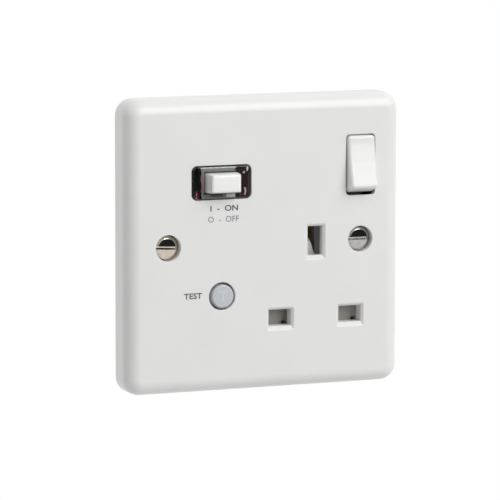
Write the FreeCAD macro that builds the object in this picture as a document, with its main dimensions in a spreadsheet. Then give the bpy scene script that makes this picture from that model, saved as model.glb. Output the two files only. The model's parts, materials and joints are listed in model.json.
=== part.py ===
import FreeCAD, Part
import math
import os
import re
import Sketcher

# The part is a single-gang switched socket with a residual current device.
# X runs to the right, Y into the wall and Z up, all in millimetres.
# The origin is the middle of the plate's back rim, on the wall's surface.
SIZES = {
    # Front plate
    "plate_width": 86.0,
    "plate_height": 86.0,
    "plate_depth": 9.8,
    "corner_radius": 5.0,
    "edge_round": 4.4,
    "face_wall": 2.5,
    "side_wall": 2.2,
    # Fixing screws and the posts that they pass through
    "fixing_spacing": 60.3,
    "fixing_thread": 3.5,
    "fixing_length": 25.0,
    "fixing_head": 7.0,
    "fixing_head_depth": 2.4,
    "fixing_head_sunk": 1.0,
    "fixing_head_round": 0.7,
    "fixing_slot": 1.0,
    "fixing_slot_deep": 1.1,
    "fixing_slot_tilt": 3.0,
    "fixing_neck": 3.0,
    "fixing_hole_gap": 0.35,
    "fixing_head_gap": 0.35,
    "post_wall": 2.0,
    "post_short": 0.4,
    # Pin apertures, the pins' spacing and the sleeves behind them
    "socket_x": 16.0,
    "earth_z": -0.4,
    "pin_spacing": 22.2,
    "pin_drop": 22.2,
    "line_wide": 7.0,
    "line_tall": 4.8,
    "earth_wide": 4.6,
    "earth_tall": 8.6,
    "bevel_wide": 0.75,
    "bevel_deep": 0.8,
    "sleeve_wall": 1.2,
    "sleeve_depth": 5.3,
    # Sliding shutter and its spring
    "slide_gap": 0.2,
    "shutter_thick": 1.8,
    "shutter_cover": 0.9,
    "shutter_lap": 0.3,
    "shutter_travel": 5.4,
    "shutter_arm": 3.0,
    "shutter_slope": 1.8,
    "shutter_notch": 0.8,
    "shutter_notch_inset": 0.4,
    "shutter_ramp": 1.2,
    "shutter_bar": 2.9,
    "shutter_bar_wide": 13.0,
    "shutter_side": 0.6,
    "shutter_tab": 1.6,
    "shutter_tab_gap": 1.4,
    "spring_aside": 2.6,
    "spring_stand_off": 1.5,
    "spring_seat_wide": 3.4,
    "spring_seat_thick": 1.2,
    "shutter_spring_radius": 1.15,
    "shutter_spring_wire": 0.15,
    "shutter_spring_room": 9.2,
    # Inner frame behind the shutter
    "frame_thick": 1.6,
    "frame_hole_gap": 0.4,
    "tail_slot_gap": 1.0,
    "tail_slot_tall": 5.6,
    # Rear housing, with a notch each side for the wall box's lugs
    "housing_width": 68.0,
    "housing_height": 66.0,
    "housing_depth": 24.0,
    "housing_wall": 1.8,
    "housing_round": 2.0,
    "notch_x": 23.8,
    "notch_z": 9.5,
    # Assembly screws
    "assembly_left": -28.5,
    "assembly_inset": 3.7,
    "assembly_top_x": 17.5,
    "assembly_low_x": 28.3,
    "assembly_notch_drop": 4.1,
    "assembly_thread": 2.7,
    "assembly_head": 5.6,
    "assembly_head_depth": 2.0,
    "assembly_seat": 3.0,
    "assembly_bite": 4.2,
    "assembly_short": 0.3,
    "assembly_slot": 0.8,
    "column_radius": 3.6,
    "column_gap": 0.3,
    "screw_gap": 0.1,
    "boss_radius": 2.7,
    # Small gap between pieces that meet when one of them moves
    "touch_gap": 0.1,
    "spring_gap": 0.05,
    # Reset button in its clear window
    "window_x": -13.7,
    "window_z": 18.5,
    "window_wide": 18.6,
    "window_tall": 10.0,
    "window_round": 1.7,
    "window_gap": 0.12,
    "window_proud": 0.25,
    "window_chamfer": 0.4,
    "window_lip": 1.0,
    "reset_wide": 9.0,
    "reset_tall": 5.2,
    "reset_flare_wide": 0.8,
    "reset_flare_tall": 0.4,
    "reset_round": 0.7,
    "reset_proud": 4.2,
    "reset_deep": 3.0,
    "reset_gap": 0.25,
    "reset_travel": 2.6,
    "stem_radius": 2.0,
    "reset_spring_radius": 2.6,
    "reset_spring_wire": 0.2,
    # Red and green flag
    "flag_thick": 0.8,
    "flag_clear": 0.7,
    "flag_inset": 0.4,
    "flag_over": 0.5,
    "flag_rail": 2.2,
    "flag_pad": 2.8,
    "flag_bar": 1.8,
    "flag_travel": 6.0,
    # Test button, its spring and the test contacts
    "test_x": -13.5,
    "test_z": -14.8,
    "test_radius": 3.6,
    "test_gap": 0.5,
    "test_proud": 0.4,
    "test_round": 0.6,
    "test_flange": 1.2,
    "test_collar": 1.0,
    "test_guide_deep": 1.6,
    "test_stem": 1.5,
    "test_travel": 1.5,
    "test_guide_wall": 1.2,
    "test_spring_radius": 3.0,
    "test_spring_wire": 0.2,
    "test_strip_left": 9.2,
    "test_strip_right": 4.8,
    "test_post": 2.5,
    "test_strip_thick": 0.35,
    "test_strip_wide": 5.0,
    "test_pin_radius": 0.6,
    "test_pin_gap": 1.0,
    # Rocker and what it works
    "rocker_x": 30.15,
    "rocker_z": 22.0,
    "rocker_wide": 8.6,
    "rocker_half": 8.6,
    "rocker_gap": 0.3,
    "rocker_side_gap": 0.35,
    "rocker_pivot_deep": 3.2,
    "rocker_apex": 1.5,
    "rocker_swing": 20.0,
    "rocker_back": 2.4,
    "rocker_edge": 0.9,
    "rocker_corner": 1.1,
    "rocker_wall": 1.3,
    "rocker_hollow": 1.5,
    "pivot_radius": 1.2,
    "pivot_gap": 0.1,
    "pivot_short": 0.2,
    "cheek_wall": 1.5,
    "cheek_half": 3.0,
    "cheek_deep": 2.7,
    "switch_x": 29.0,
    "tail_radius": 2.6,
    "tail_reach": 6.1,
    "tail_bore": 1.7,
    "tail_bore_deep": 0.4,
    "plunger_radius": 1.5,
    "plunger_reach": 8.0,
    "plunger_long": 4.4,
    "plunger_round": 1.35,
    "plunger_spring_radius": 1.2,
    "plunger_spring_wire": 0.18,
    "bridge_gap": 0.1,
    "bridge_thick": 1.0,
    "bridge_wide": 4.2,
    "bridge_half": 7.5,
    "bridge_swing": 16.0,
    "bridge_ridge": 0.8,
    "rivet_radius": 1.4,
    "rivet_high": 0.8,
    "strip_thick": 0.8,
    "strip_wide": 3.2,
    "strap_wide": 1.6,
    "strap_inset": 0.3,
    "strap_lift": 1.4,
    "strap_over_post": 0.3,
    "rivet_inset": 1.6,
    "riser_gap": 0.4,
    # Pin contacts in their wells
    "line_grip": 4.1,
    "earth_grip": 4.1,
    "grip_thick": 0.7,
    "line_leaf": 6.4,
    "earth_leaf": 7.8,
    "line_reach": 9.7,
    "earth_reach": 14.1,
    "grip_front": 0.3,
    "well_gap": 0.2,
    "well_wall": 1.2,
    "shelf_thick": 2.4,
    # Terminals
    "terminal_pitch": 11.1,
    "terminal_wide": 8.6,
    "terminal_tall": 10.0,
    "terminal_deep": 8.2,
    "terminal_bore": 2.2,
    "terminal_bore_y": 15.5,
    "terminal_thread": 3.4,
    "terminal_head": 5.5,
    "terminal_head_depth": 2.2,
    "terminal_backed": 0.5,
    "terminal_slot": 0.9,
    "entry_gap": 0.3,
    "tip_gap": 0.2,
    # Circuit board and what stands on it
    "board_left": -21.6,
    "board_right": -0.8,
    "board_gap": 0.7,
    "board_front": 17.0,
    "board_thick": 1.6,
    "toroid_x": -12.5,
    "toroid_z": -2.0,
    "core_outer": 7.8,
    "core_inner": 4.8,
    "core_long": 6.0,
    "winding_thick": 0.7,
    "link_wide": 2.0,
    "link_apart": 3.2,
    "link_gap": 0.4,
    "link_layer": 0.8,
    "link_over": 2.5,
    "live_step": 5.6,
    "pillar_inset": 2.5,
    "pillar_radius": 2.0,
    # Contact carrier
    "carrier_wide": 19.4,
    "carrier_tall": 6.0,
    "carrier_front": 4.0,
    "carrier_deep": 5.4,
    "carrier_pole": 5.2,
    "pole_half": 6.8,
    "guide_radius": 0.9,
    "guide_gap": 0.2,
    "guide_inset": 1.4,
    "guide_reach": 12.0,
    "contact_gap": 0.2,
    "carrier_spring_radius": 2.2,
    "carrier_spring_wire": 0.25,
    # Solenoid and latch
    "solenoid_x": -28.6,
    "solenoid_y": 12.5,
    "solenoid_gap": 0.3,
    "solenoid_long": 9.0,
    "bobbin_half": 3.5,
    "bobbin_flange": 1.0,
    "bobbin_bore": 1.5,
    "bobbin_tube": 2.1,
    "coil_radius": 3.2,
    "armature_radius": 1.35,
    "armature_head": 0.8,
    "latch_x": -25.6,
    "latch_rise": 1.6,
    "latch_boss_wall": 0.9,
    "latch_hook": 1.2,
    "latch_front": 5.0,
    "latch_thick": 1.4,
    "latch_pin_radius": 0.75,
    "latch_pin_start": 0.5,
    "latch_pin_over": 0.6,
    "pin_gap": 0.05,
    # Components on the board
    "varistor_x": -16.0,
    "varistor_edge": 1.3,
    "varistor_radius": 4.2,
    "varistor_long": 3.6,
    "capacitor_x": -5.95,
    "capacitor_edge": 1.2,
    "capacitor_wide": 8.7,
    "capacitor_tall": 7.3,
    "capacitor_deep": 7.2,
    "chip_x": -13.7,
    "chip_z": 12.0,
    "chip_wide": 5.0,
    "chip_tall": 4.8,
    "chip_deep": 1.6,
    "resistor_left": -19.8,
    "resistor_right": -4.4,
    "resistor_pitch": 2.4,
    "resistor_gap": 1.8,
    "resistor_radius": 1.1,
    "resistor_long": 6.5,
    "diode_x": -2.6,
    "diode_z": 7.0,
    "diode_pitch": 3.8,
    "diode_radius": 0.9,
    "diode_long": 3.0,
}

doc = FreeCAD.newDocument("residual_current_socket")
sheet = doc.addObject("Spreadsheet::Sheet", "Sizes")
for row, (alias, size) in enumerate(SIZES.items(), start=1):
    sheet.set(f"A{row}", alias)
    sheet.set(f"B{row}", str(size))
    sheet.setAlias(f"B{row}", alias)
doc.recompute()

WORD = re.compile(r"[a-z]\w*")
PLANES = {"x": ("YZ_Plane", 1), "y": ("XZ_Plane", -1), "z": ("XY_Plane", 1)}
TURNS = {
    "x": FreeCAD.Rotation(FreeCAD.Vector(0, 1, 0), 90),
    "y": FreeCAD.Rotation(FreeCAD.Vector(1, 0, 0), -90),
    "z": FreeCAD.Rotation(),
}


# Sizes and expressions
def bound(text):
    """The text with each size's name turned into its cell in the sheet."""
    return WORD.sub(lambda word: f"Sizes.{word[0]}" if word[0] in SIZES else word[0], text)


def bind(item, field, text):
    item.setExpression(field, bound(text))


def measure(text):
    return float(sheet.evalExpression(bound(text)))


def place(item, x, y, z):
    """Bind the place of a sub-part or of a primitive."""
    for axis, text in zip("xyz", (x, y, z)):
        bind(item, f"Placement.Base.{axis}", text)


def tilt(item, angle):
    """Bind a turn about the X axis."""
    item.Placement = FreeCAD.Placement(FreeCAD.Vector(), FreeCAD.Rotation(FreeCAD.Vector(1, 0, 0), 1))
    bind(item, "Placement.Rotation.Angle", angle)


# Outlines for sketches
def span(middle, width):
    """The two ends of a width laid evenly about its middle."""
    return f"({middle}) - ({width}) / 2", f"({middle}) + ({width}) / 2"


def rectangle(across, up):
    """Corners of a rectangle from its two pairs of ends."""
    left, right = across
    low, high = up
    return [(left, low), (right, low), (right, high), (left, high)]


def centred(x, z, width, height):
    return rectangle(span(x, width), span(z, height))


def grown(outline, margin):
    """A rectangle given by its middle and size, grown by a margin on each side."""
    x, z, width, height = outline
    return centred(x, z, f"{width} + 2 * ({margin})", f"{height} + 2 * ({margin})")


def draw_corners(sketch, corners):
    """Straight lines through the corners, each corner held by two dimensions."""
    places = [FreeCAD.Vector(measure(x), measure(y), 0) for x, y in corners]
    first = sketch.GeometryCount
    count = len(corners)
    for number in range(count):
        line = Part.LineSegment(places[number], places[(number + 1) % count])
        sketch.addGeometry(line, False)
    for number in range(count):
        after = first + (number + 1) % count
        sketch.addConstraint(Sketcher.Constraint("Coincident", first + number, 2, after, 1))
    for number, (x, y) in enumerate(corners):
        hold_point(sketch, first + number, 1, x, y)


def draw_circle(sketch, x, y, radius):
    middle = FreeCAD.Vector(measure(x), measure(y), 0)
    circle = Part.Circle(middle, FreeCAD.Vector(0, 0, 1), measure(radius))
    number = sketch.addGeometry(circle, False)
    size = sketch.addConstraint(Sketcher.Constraint("Radius", number, measure(radius)))
    bind(sketch, f"Constraints[{size}]", radius)
    hold_point(sketch, number, 3, x, y)


def hold_point(sketch, geometry, point, x, y):
    """Dimension one point of a sketch from the sketch's origin."""
    for kind, text in (("DistanceX", x), ("DistanceY", y)):
        rule = Sketcher.Constraint(kind, -1, 1, geometry, point, measure(text))
        number = sketch.addConstraint(rule)
        bind(sketch, f"Constraints[{number}]", text)


def new_sketch(body, name, axis, level, shapes):
    """A sketch across the axis at a level, with corner lists and circles in it."""
    role, sign = PLANES[axis]
    sketch = body.newObject("Sketcher::SketchObject", name)
    plane = next(item for item in body.Origin.OriginFeatures if item.Role == role)
    sketch.AttachmentSupport = (plane, [""])
    sketch.MapMode = "FlatFace"
    bind(sketch, "AttachmentOffset.Base.z", level if sign > 0 else f"-({level})")
    for shape in shapes:
        if isinstance(shape, tuple):
            draw_circle(sketch, *shape)
        else:
            draw_corners(sketch, shape)
    return sketch


# Features of a body
def new_body(name):
    body = doc.addObject("PartDesign::Body", name)
    body.Label = name
    return body


def extrude(kind, body, name, axis, low, high, shapes):
    """Pad or pocket the shapes along an axis from the low to the high level."""
    feature_sketch = new_sketch(body, f"{name}_outline", axis, low, shapes)
    feature = body.newObject(f"PartDesign::{kind}", name)
    feature.Profile = feature_sketch
    bind(feature, "Length", f"({high}) - ({low})")
    feature.Reversed = (PLANES[axis][1] < 0) == (kind == "Pad")
    return feature


def pad(body, name, axis, low, high, *shapes):
    return extrude("Pad", body, name, axis, low, high, shapes)


def pocket(body, name, axis, low, high, *shapes):
    """Cut the shapes out, and make sure that the cut met the solid."""
    doc.recompute()
    before = body.Shape.Volume
    feature = extrude("Pocket", body, name, axis, low, high, shapes)
    doc.recompute()
    if body.Shape.Volume > before - 0.001:
        raise RuntimeError(f"{name} cuts nothing")
    return feature


def taper(kind, body, name, low, low_shape, high, high_shape):
    """A loft along Y between two outlines, added or cut away."""
    first = new_sketch(body, f"{name}_front", "y", low, [low_shape])
    second = new_sketch(body, f"{name}_back", "y", high, [high_shape])
    feature = body.newObject(f"PartDesign::{kind}", name)
    feature.Profile = first
    feature.Sections = [second]
    feature.Ruled = True
    return feature


def dress(kind, body, name, size, wanted):
    """Fillet or chamfer the edges of the body's newest solid that are wanted."""
    doc.recompute()
    base = body.Tip
    edges = [f"Edge{number}" for number, edge in enumerate(base.Shape.Edges, 1) if wanted(edge)]
    if not edges:
        raise RuntimeError(f"{name} finds no edge")
    feature = body.newObject(f"PartDesign::{kind}", name)
    feature.Base = (base, edges)
    bind(feature, "Radius" if kind == "Fillet" else "Size", size)
    body.Tip = feature
    return feature


def runs(edge, axis):
    """Is the edge straight and along this axis?"""
    ends = [vertex.Point for vertex in edge.Vertexes]
    if len(ends) < 2 or not isinstance(edge.Curve, (Part.Line, Part.LineSegment)):
        return False
    way = ends[1] - ends[0]
    return abs(getattr(way, axis)) > 0.999 * way.Length


def lies(edge, axis, level):
    """Does the whole edge lie at this level of the axis?"""
    box = edge.BoundBox
    low, high = (getattr(box, f"{axis.upper()}{end}") for end in ("Min", "Max"))
    return max(abs(low - measure(level)), abs(high - measure(level))) < 0.01


def within(edge, axis, low, high):
    """Does the whole edge lie between two levels of the axis?"""
    box = edge.BoundBox
    least, most = (getattr(box, f"{axis.upper()}{end}") for end in ("Min", "Max"))
    return least > measure(low) - 0.01 and most < measure(high) + 0.01


def on_arc(edge, sides, radius):
    """Is the edge an arc of this radius at one of two levels of X?"""
    curve = edge.Curve
    if not isinstance(curve, Part.Circle) or abs(curve.Radius - measure(radius)) > 0.01:
        return False
    return any(lies(edge, "x", side) for side in sides)


def on_corner(edge, x, z, width, height):
    """Does the edge run along Y from a corner of this rectangle?"""
    middle = edge.BoundBox.Center
    across = abs(abs(middle.x - measure(x)) - measure(width) / 2)
    up = abs(abs(middle.z - measure(z)) - measure(height) / 2)
    return runs(edge, "y") and across < 0.01 and up < 0.01


# Primitives
def block(name, across, deep, up):
    """A box between two levels of each axis."""
    item = doc.addObject("Part::Box", name)
    for field, (low, high) in zip(("Length", "Width", "Height"), (across, deep, up)):
        bind(item, field, f"({high}) - ({low})")
    place(item, across[0], deep[0], up[0])
    return item


def rod(name, axis, x, y, z, radius, length):
    """A cylinder that starts at a point and runs up an axis."""
    item = doc.addObject("Part::Cylinder", name)
    item.Placement = FreeCAD.Placement(FreeCAD.Vector(), TURNS[axis])
    bind(item, "Radius", radius)
    bind(item, "Height", length)
    place(item, x, y, z)
    return item


def fuse(name, *pieces):
    item = doc.addObject("Part::MultiFuse", name)
    item.Shapes = list(pieces)
    item.Label = name
    return item


def cut(name, base, tool):
    item = doc.addObject("Part::Cut", name)
    item.Base = base
    item.Tool = tool
    item.Label = name
    return item


def group(name, *pieces):
    """Separate solids that share one node."""
    item = doc.addObject("Part::Compound", name)
    item.Links = list(pieces)
    item.Label = name
    return item


def back_screw(name, kind, x, z, tip, seat):
    """A slotted screw driven from the back, with its head on a seat."""
    back = f"{seat} + {kind}_head_depth"
    shank = rod(f"{name}_shank", "y", x, tip, z, f"{kind}_thread / 2", f"{seat} - {tip}")
    head = rod(f"{name}_head", "y", x, seat, z, f"{kind}_head / 2", f"{kind}_head_depth")
    slot_deep = (f"{back} - {kind}_slot", f"{back} + 1")
    slot = block(f"{name}_slot", span(x, f"{kind}_head + 1"), slot_deep, span(z, f"{kind}_slot"))
    return cut(name, fuse(f"{name}_whole", shank, head), slot)


def arc_between(start, end, corner):
    """The arc between two points whose tangents there meet at the corner."""
    middle = (start + end) / 2
    rise = corner - middle
    half = (end - start).Length / 2
    bulge = half * math.tan(math.atan2(rise.Length, half) / 2)
    return Part.Arc(start, middle + rise.normalize() * bulge, end).toShape()


def coil_path(radius, height, turns):
    """A rising coil, with two arcs for each half turn."""
    slope = height / (turns * 2 * math.pi)
    places = []
    ways = []
    for number in range(2 * turns + 1):
        angle = number * math.pi
        across = FreeCAD.Vector(math.cos(angle), math.sin(angle), 0)
        along = FreeCAD.Vector(-math.sin(angle) * radius, math.cos(angle) * radius, slope)
        places.append(across * radius + FreeCAD.Vector(0, 0, slope * angle))
        ways.append(along.normalize())
    arcs = []
    for number in range(2 * turns):
        start, end = places[number:number + 2]
        leaving, arriving = ways[number:number + 2]
        chord = end - start
        both = chord.dot(leaving + arriving)
        spread = 2 * (1 - leaving.dot(arriving))
        reach = (math.sqrt(both ** 2 + spread * chord.dot(chord)) - both) / spread
        first = start + leaving * reach
        second = end - arriving * reach
        meeting = (first + second) / 2
        arcs.append(arc_between(start, meeting, first))
        arcs.append(arc_between(meeting, end, second))
    return Part.Wire(arcs), places[0], ways[0]


def least_gap(path, turns, wire):
    """The narrowest gap between a coil's turns, measured on points along its path."""
    half_turn = 12
    points = path.discretize(2 * half_turn * turns + 1)
    pairs = [(one, two) for number, one in enumerate(points) for two in points[number + half_turn:]]
    return min(one.distanceToPoint(two) for one, two in pairs) - 2 * wire


def coil_spring(name, axis, x, y, z, radius, wire, length, turns):
    """A coil spring of round wire that just clears the two seats at the ends of its room."""
    wire_radius = measure(wire)
    rise = measure(f"({length}) - 2 * ({wire}) - 2 * spring_gap")
    path, start, way = coil_path(measure(radius), rise, turns)
    section = Part.Wire([Part.Circle(start, way, wire_radius).toShape()])
    spring = doc.addObject("Part::Feature", name)
    spring.Shape = path.makePipeShell([section], True, False)
    spring.Label = name
    spring.Placement = FreeCAD.Placement(FreeCAD.Vector(), TURNS[axis])
    seat = {"x": x, "y": y, "z": z}
    seat[axis] += f" + ({wire}) + spring_gap"
    place(spring, *seat.values())
    print(f"{name}: least gap {least_gap(path, turns, wire_radius):.2f} mm")
    return spring


# Levels along Y that several pieces share
FACE = "(-plate_depth)"
WALL_BACK = "(face_wall - plate_depth)"
SLEEVE_END = "(sleeve_depth - plate_depth)"
SHUTTER_FRONT = f"({SLEEVE_END} + slide_gap)"
SHUTTER_BACK = f"({SHUTTER_FRONT} + shutter_thick)"
FRAME_FRONT = f"({SHUTTER_BACK} + slide_gap)"
FRAME_BACK = f"({FRAME_FRONT} + frame_thick)"
FLOOR_FRONT = "(housing_depth - housing_wall)"
PIVOT_Y = "(rocker_pivot_deep - plate_depth)"
WINDOW_BACK = f"({WALL_BACK} + window_lip)"
RESET_BACK = "(reset_deep - plate_depth)"
FLAG_FRONT = f"({WINDOW_BACK} + flag_clear)"
FLAG_BACK = f"({FLAG_FRONT} + flag_thick)"
LINE_SHELF = "(line_reach + well_gap)"
EARTH_SHELF = "(earth_reach + well_gap)"
TERMINAL_FRONT = f"({LINE_SHELF} + shelf_thick)"
TERMINAL_BACK = f"({TERMINAL_FRONT} + terminal_deep)"
CARRIER_BACK = "(carrier_front + carrier_deep)"
FIXED_FRONT = f"({CARRIER_BACK} + strip_thick + rivet_high + reset_travel + contact_gap + rivet_high)"
BRIDGE_FRONT = f"({PIVOT_Y} + plunger_reach + bridge_gap)"
BRIDGE_PIVOT_Y = f"({BRIDGE_FRONT} + bridge_thick)"

# Places across the face that several pieces share
NEUTRAL_X = "(socket_x - pin_spacing / 2)"
LIVE_X = "(socket_x + pin_spacing / 2)"
LINE_Z = "(earth_z - pin_drop)"
FIXING_PLACES = [("-fixing_spacing / 2", "0"), ("fixing_spacing / 2", "0")]
LINE_PLACES = [(NEUTRAL_X, LINE_Z), (LIVE_X, LINE_Z)]
ASSEMBLY_TOP = "(housing_height / 2 - assembly_inset)"
ASSEMBLY_PLACES = [
    ("assembly_left", ASSEMBLY_TOP),
    ("assembly_left", f"(-{ASSEMBLY_TOP})"),
    ("assembly_top_x", ASSEMBLY_TOP),
    ("assembly_low_x", "(-notch_z - assembly_notch_drop)"),
]
NEUTRAL_TERMINAL_X = "(socket_x - terminal_pitch)"
LIVE_TERMINAL_X = "(socket_x + terminal_pitch)"
TERMINAL_PLACES = [NEUTRAL_TERMINAL_X, "socket_x", LIVE_TERMINAL_X]
TERMINAL_LOW = "(housing_wall - housing_height / 2)"
TERMINAL_TOP = f"({TERMINAL_LOW} + terminal_tall)"
TERMINAL_MIDDLE = f"({TERMINAL_LOW} + terminal_tall / 2)"
BOARD_LOW = "(housing_wall + board_gap - housing_height / 2)"
BOARD_TOP = "(housing_height / 2 - housing_wall)"
VARISTOR_Z = f"({BOARD_LOW} + varistor_edge + varistor_radius)"
CAPACITOR_Z = f"({BOARD_LOW} + capacitor_edge + capacitor_tall / 2)"
RESISTOR_LOW = f"({VARISTOR_Z} + varistor_radius + resistor_gap)"
SOLENOID_LOW = "(notch_z + housing_wall + solenoid_gap)"
SOLENOID_TOP = f"({SOLENOID_LOW} + solenoid_long)"
LATCH_LOW = f"({SOLENOID_TOP} + slide_gap + armature_head + slide_gap)"
LATCH_Z = f"({LATCH_LOW} + latch_rise)"
LINK_LIVE = "(toroid_x + link_apart / 2)"
LINK_NEUTRAL = "(toroid_x - link_apart / 2)"
POLE_LIVE = "(window_x + carrier_pole)"
POLE_NEUTRAL = "(window_x - carrier_pole)"


# Places that follow from the ones above
WINDOW = ("window_x", "window_z", "window_wide", "window_tall")
RESET_BASE_SIZE = ("(reset_wide + 2 * reset_flare_wide)", "(reset_tall + 2 * reset_flare_tall)")
RESET_BASE = ("window_x", "window_z", *RESET_BASE_SIZE)
ROCKER_OPENING = span("rocker_x", "rocker_wide + 2 * rocker_side_gap")
PIN_HOLES = [(x, z, "line_wide", "line_tall") for x, z in LINE_PLACES]
PIN_HOLES.append(("socket_x", "earth_z", "earth_wide", "earth_tall"))
HEAD_SEAT = f"({FACE} + fixing_head_sunk + fixing_head_depth)"
SHUTTER_SPRING_X = "(socket_x + spring_aside)"
WING_TOP = f"({LINE_Z} + line_tall / 2 + shutter_lap)"
WING_LOW = f"({LINE_Z} - line_tall / 2 - shutter_cover)"
BAR_TOP = f"({WING_TOP} + shutter_bar)"
EARTH_LOW = "(earth_z - earth_tall / 2)"
ARM_TOP = f"({EARTH_LOW} + shutter_travel - shutter_lap)"
SPRING_TOP = f"({EARTH_LOW} - sleeve_wall - shutter_tab - shutter_tab_gap)"
SPRING_SEAT = f"({SPRING_TOP} - shutter_spring_room)"
TEST_COLLAR_FRONT = f"({WALL_BACK} + touch_gap)"
TEST_COLLAR_BACK = f"({TEST_COLLAR_FRONT} + test_collar)"
TEST_STEM_END = f"({FRAME_BACK} - slide_gap)"
TEST_STRIP_FRONT = f"({TEST_STEM_END} + test_travel + touch_gap)"
TEST_STRIP_BACK = f"({TEST_STRIP_FRONT} + test_strip_thick)"
TEST_STRIP_ACROSS = ("test_x - test_strip_left", "test_x + test_strip_right")
SWITCH_FIXED = f"({BRIDGE_PIVOT_Y} + rivet_high + bridge_half * sin(bridge_swing / 2) + bridge_gap)"
SWITCH_TIP_LOW = "(rocker_z + bridge_half - 2 * rivet_radius - strip_thick)"
RISER_TOP = "(housing_height / 2 - housing_wall - riser_gap)"
BOARD_BACK = "(board_front + board_thick)"
CORE_FRONT = "(board_front - winding_thick - core_long)"
LINK_FRONT = f"({CORE_FRONT} - winding_thick - 2 * strip_thick)"
LINK_TURN = "(toroid_z + core_outer + winding_thick + link_over)"
FIXED_BACK = f"({FIXED_FRONT} + strip_thick)"
RIVET_FRONT = f"({FIXED_FRONT} - rivet_high)"
LOWER_RIVET_Z = "(window_z - pole_half + rivet_inset)"
UPPER_RIVET_Z = "(window_z + pole_half - rivet_inset)"
LOWER_PLATE_TOP = f"({LOWER_RIVET_Z} + rivet_inset)"
UPPER_PLATE_LOW = f"({UPPER_RIVET_Z} - rivet_inset)"
UPPER_PLATE_TOP = f"({UPPER_RIVET_Z} + 2 * rivet_inset)"
SUPPLY_STRAP_LOW = "(rocker_z + strip_wide / 2 + strap_over_post)"
CARRIER_GUIDES = span("window_x", "carrier_wide - 2 * guide_inset")
LEG_TOP = f"({LINE_Z} + line_grip / 2 + grip_thick)"
LEG_SLOT = (f"{LEG_TOP} - strip_thick - well_gap", f"{LEG_TOP} + well_gap")
EARTH_SHELF_BACK = f"({EARTH_SHELF} + shelf_thick)"
FEED_FRONT = f"({EARTH_SHELF_BACK} + strip_thick)"
FEED_LOW = f"({TERMINAL_TOP} + strap_lift)"
LIVE_LINK_Y = f"({BOARD_BACK} + link_gap)"
NEUTRAL_LINK_Y = f"({LIVE_LINK_Y} + strip_thick + link_layer)"
LIVE_RUN_LOW = f"({LEG_TOP} - strip_thick + link_wide + link_gap)"
NEUTRAL_RUN_LOW = f"({LEG_TOP} - strip_thick)"
STEP_X = f"({NEUTRAL_X} + live_step)"
NEUTRAL_STEP_X = f"({NEUTRAL_X} - link_wide / 2)"
NEUTRAL_RUN = "(board_front - slide_gap - strip_thick)"
NEUTRAL_TOP = f"({BOARD_TOP} - riser_gap)"
RESISTOR_ROW = ["resistor_left", "resistor_right", "(resistor_right + resistor_pitch)"]
RESISTOR_PLACES = [(x, RESISTOR_LOW) for x in RESISTOR_ROW]
DIODE_PLACES = [("diode_x", f"diode_z + {number} * diode_pitch") for number in range(4)]


def back_outline(inset):
    """The housing's outline with its two side notches, drawn in by an inset."""
    side = f"(housing_width / 2 - {inset})"
    end = f"(housing_height / 2 - {inset})"
    waist = f"(notch_x - {inset})"
    step = f"(notch_z + {inset})"
    right = [
        (side, f"-{end}"),
        (side, f"-{step}"),
        (waist, f"-{step}"),
        (waist, step),
        (side, step),
        (side, end),
    ]
    left = [(f"-{x}", z) for x, z in reversed(right)]
    return right + left


# Front plate
def front_plate():
    body = new_body("front_plate")
    pad(body, "plate_block", "y", FACE, "0", centred("0", "0", "plate_width", "plate_height"))
    dress("Fillet", body, "plate_corners", "corner_radius", lambda edge: runs(edge, "y"))
    dress("Fillet", body, "plate_front_edge", "edge_round", lambda edge: lies(edge, "y", FACE))
    inside = centred("0", "0", "plate_width - 2 * side_wall", "plate_height - 2 * side_wall")
    pocket(body, "plate_hollow", "y", WALL_BACK, "0", inside)
    add_plate_supports(body)
    cut_plate_apertures(body)
    cut_plate_holes(body)
    return body


def add_plate_supports(body):
    """Posts, bosses, sleeves and cheeks that stand on the back of the face wall."""
    posts = [(x, z, "fixing_head / 2 + fixing_head_gap + post_wall") for x, z in FIXING_PLACES]
    pad(body, "fixing_posts", "y", WALL_BACK, "-post_short", *posts)
    bosses = [(x, z, "boss_radius") for x, z in ASSEMBLY_PLACES]
    pad(body, "assembly_bosses", "y", WALL_BACK, FRAME_FRONT, *bosses)
    sleeves = [grown(hole, "sleeve_wall") for hole in PIN_HOLES]
    pad(body, "pin_sleeves", "y", WALL_BACK, SLEEVE_END, *sleeves)
    guide = ("test_x", "test_z", "test_radius + test_gap + test_flange + test_guide_wall")
    pad(body, "test_guide", "y", WALL_BACK, f"{WALL_BACK} + test_guide_deep", guide)
    left, right = ROCKER_OPENING
    cheeks = [
        rectangle((f"({left}) - cheek_wall", left), span("rocker_z", "2 * cheek_half")),
        rectangle((right, f"({right}) + cheek_wall"), span("rocker_z", "2 * cheek_half")),
    ]
    pad(body, "rocker_cheeks", "y", WALL_BACK, f"{WALL_BACK} + cheek_deep", *cheeks)
    rib_up = (f"{SPRING_SEAT} - spring_seat_thick", SPRING_SEAT)
    rib = rectangle(span(SHUTTER_SPRING_X, "spring_seat_wide"), rib_up)
    pad(body, "shutter_spring_rib", "y", WALL_BACK, f"{SHUTTER_FRONT} - slide_gap", rib)


def cut_plate_apertures(body):
    """The three pin apertures, each with a bevelled mouth."""
    for number, hole in enumerate(PIN_HOLES):
        throat = centred(*hole)
        mouth = grown(hole, "bevel_wide")
        pocket(body, f"pin_throat_{number}", "y", FACE, SLEEVE_END, throat)
        taper("SubtractiveLoft", body, f"pin_mouth_{number}", FACE, mouth, f"{FACE} + bevel_deep", throat)


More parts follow.
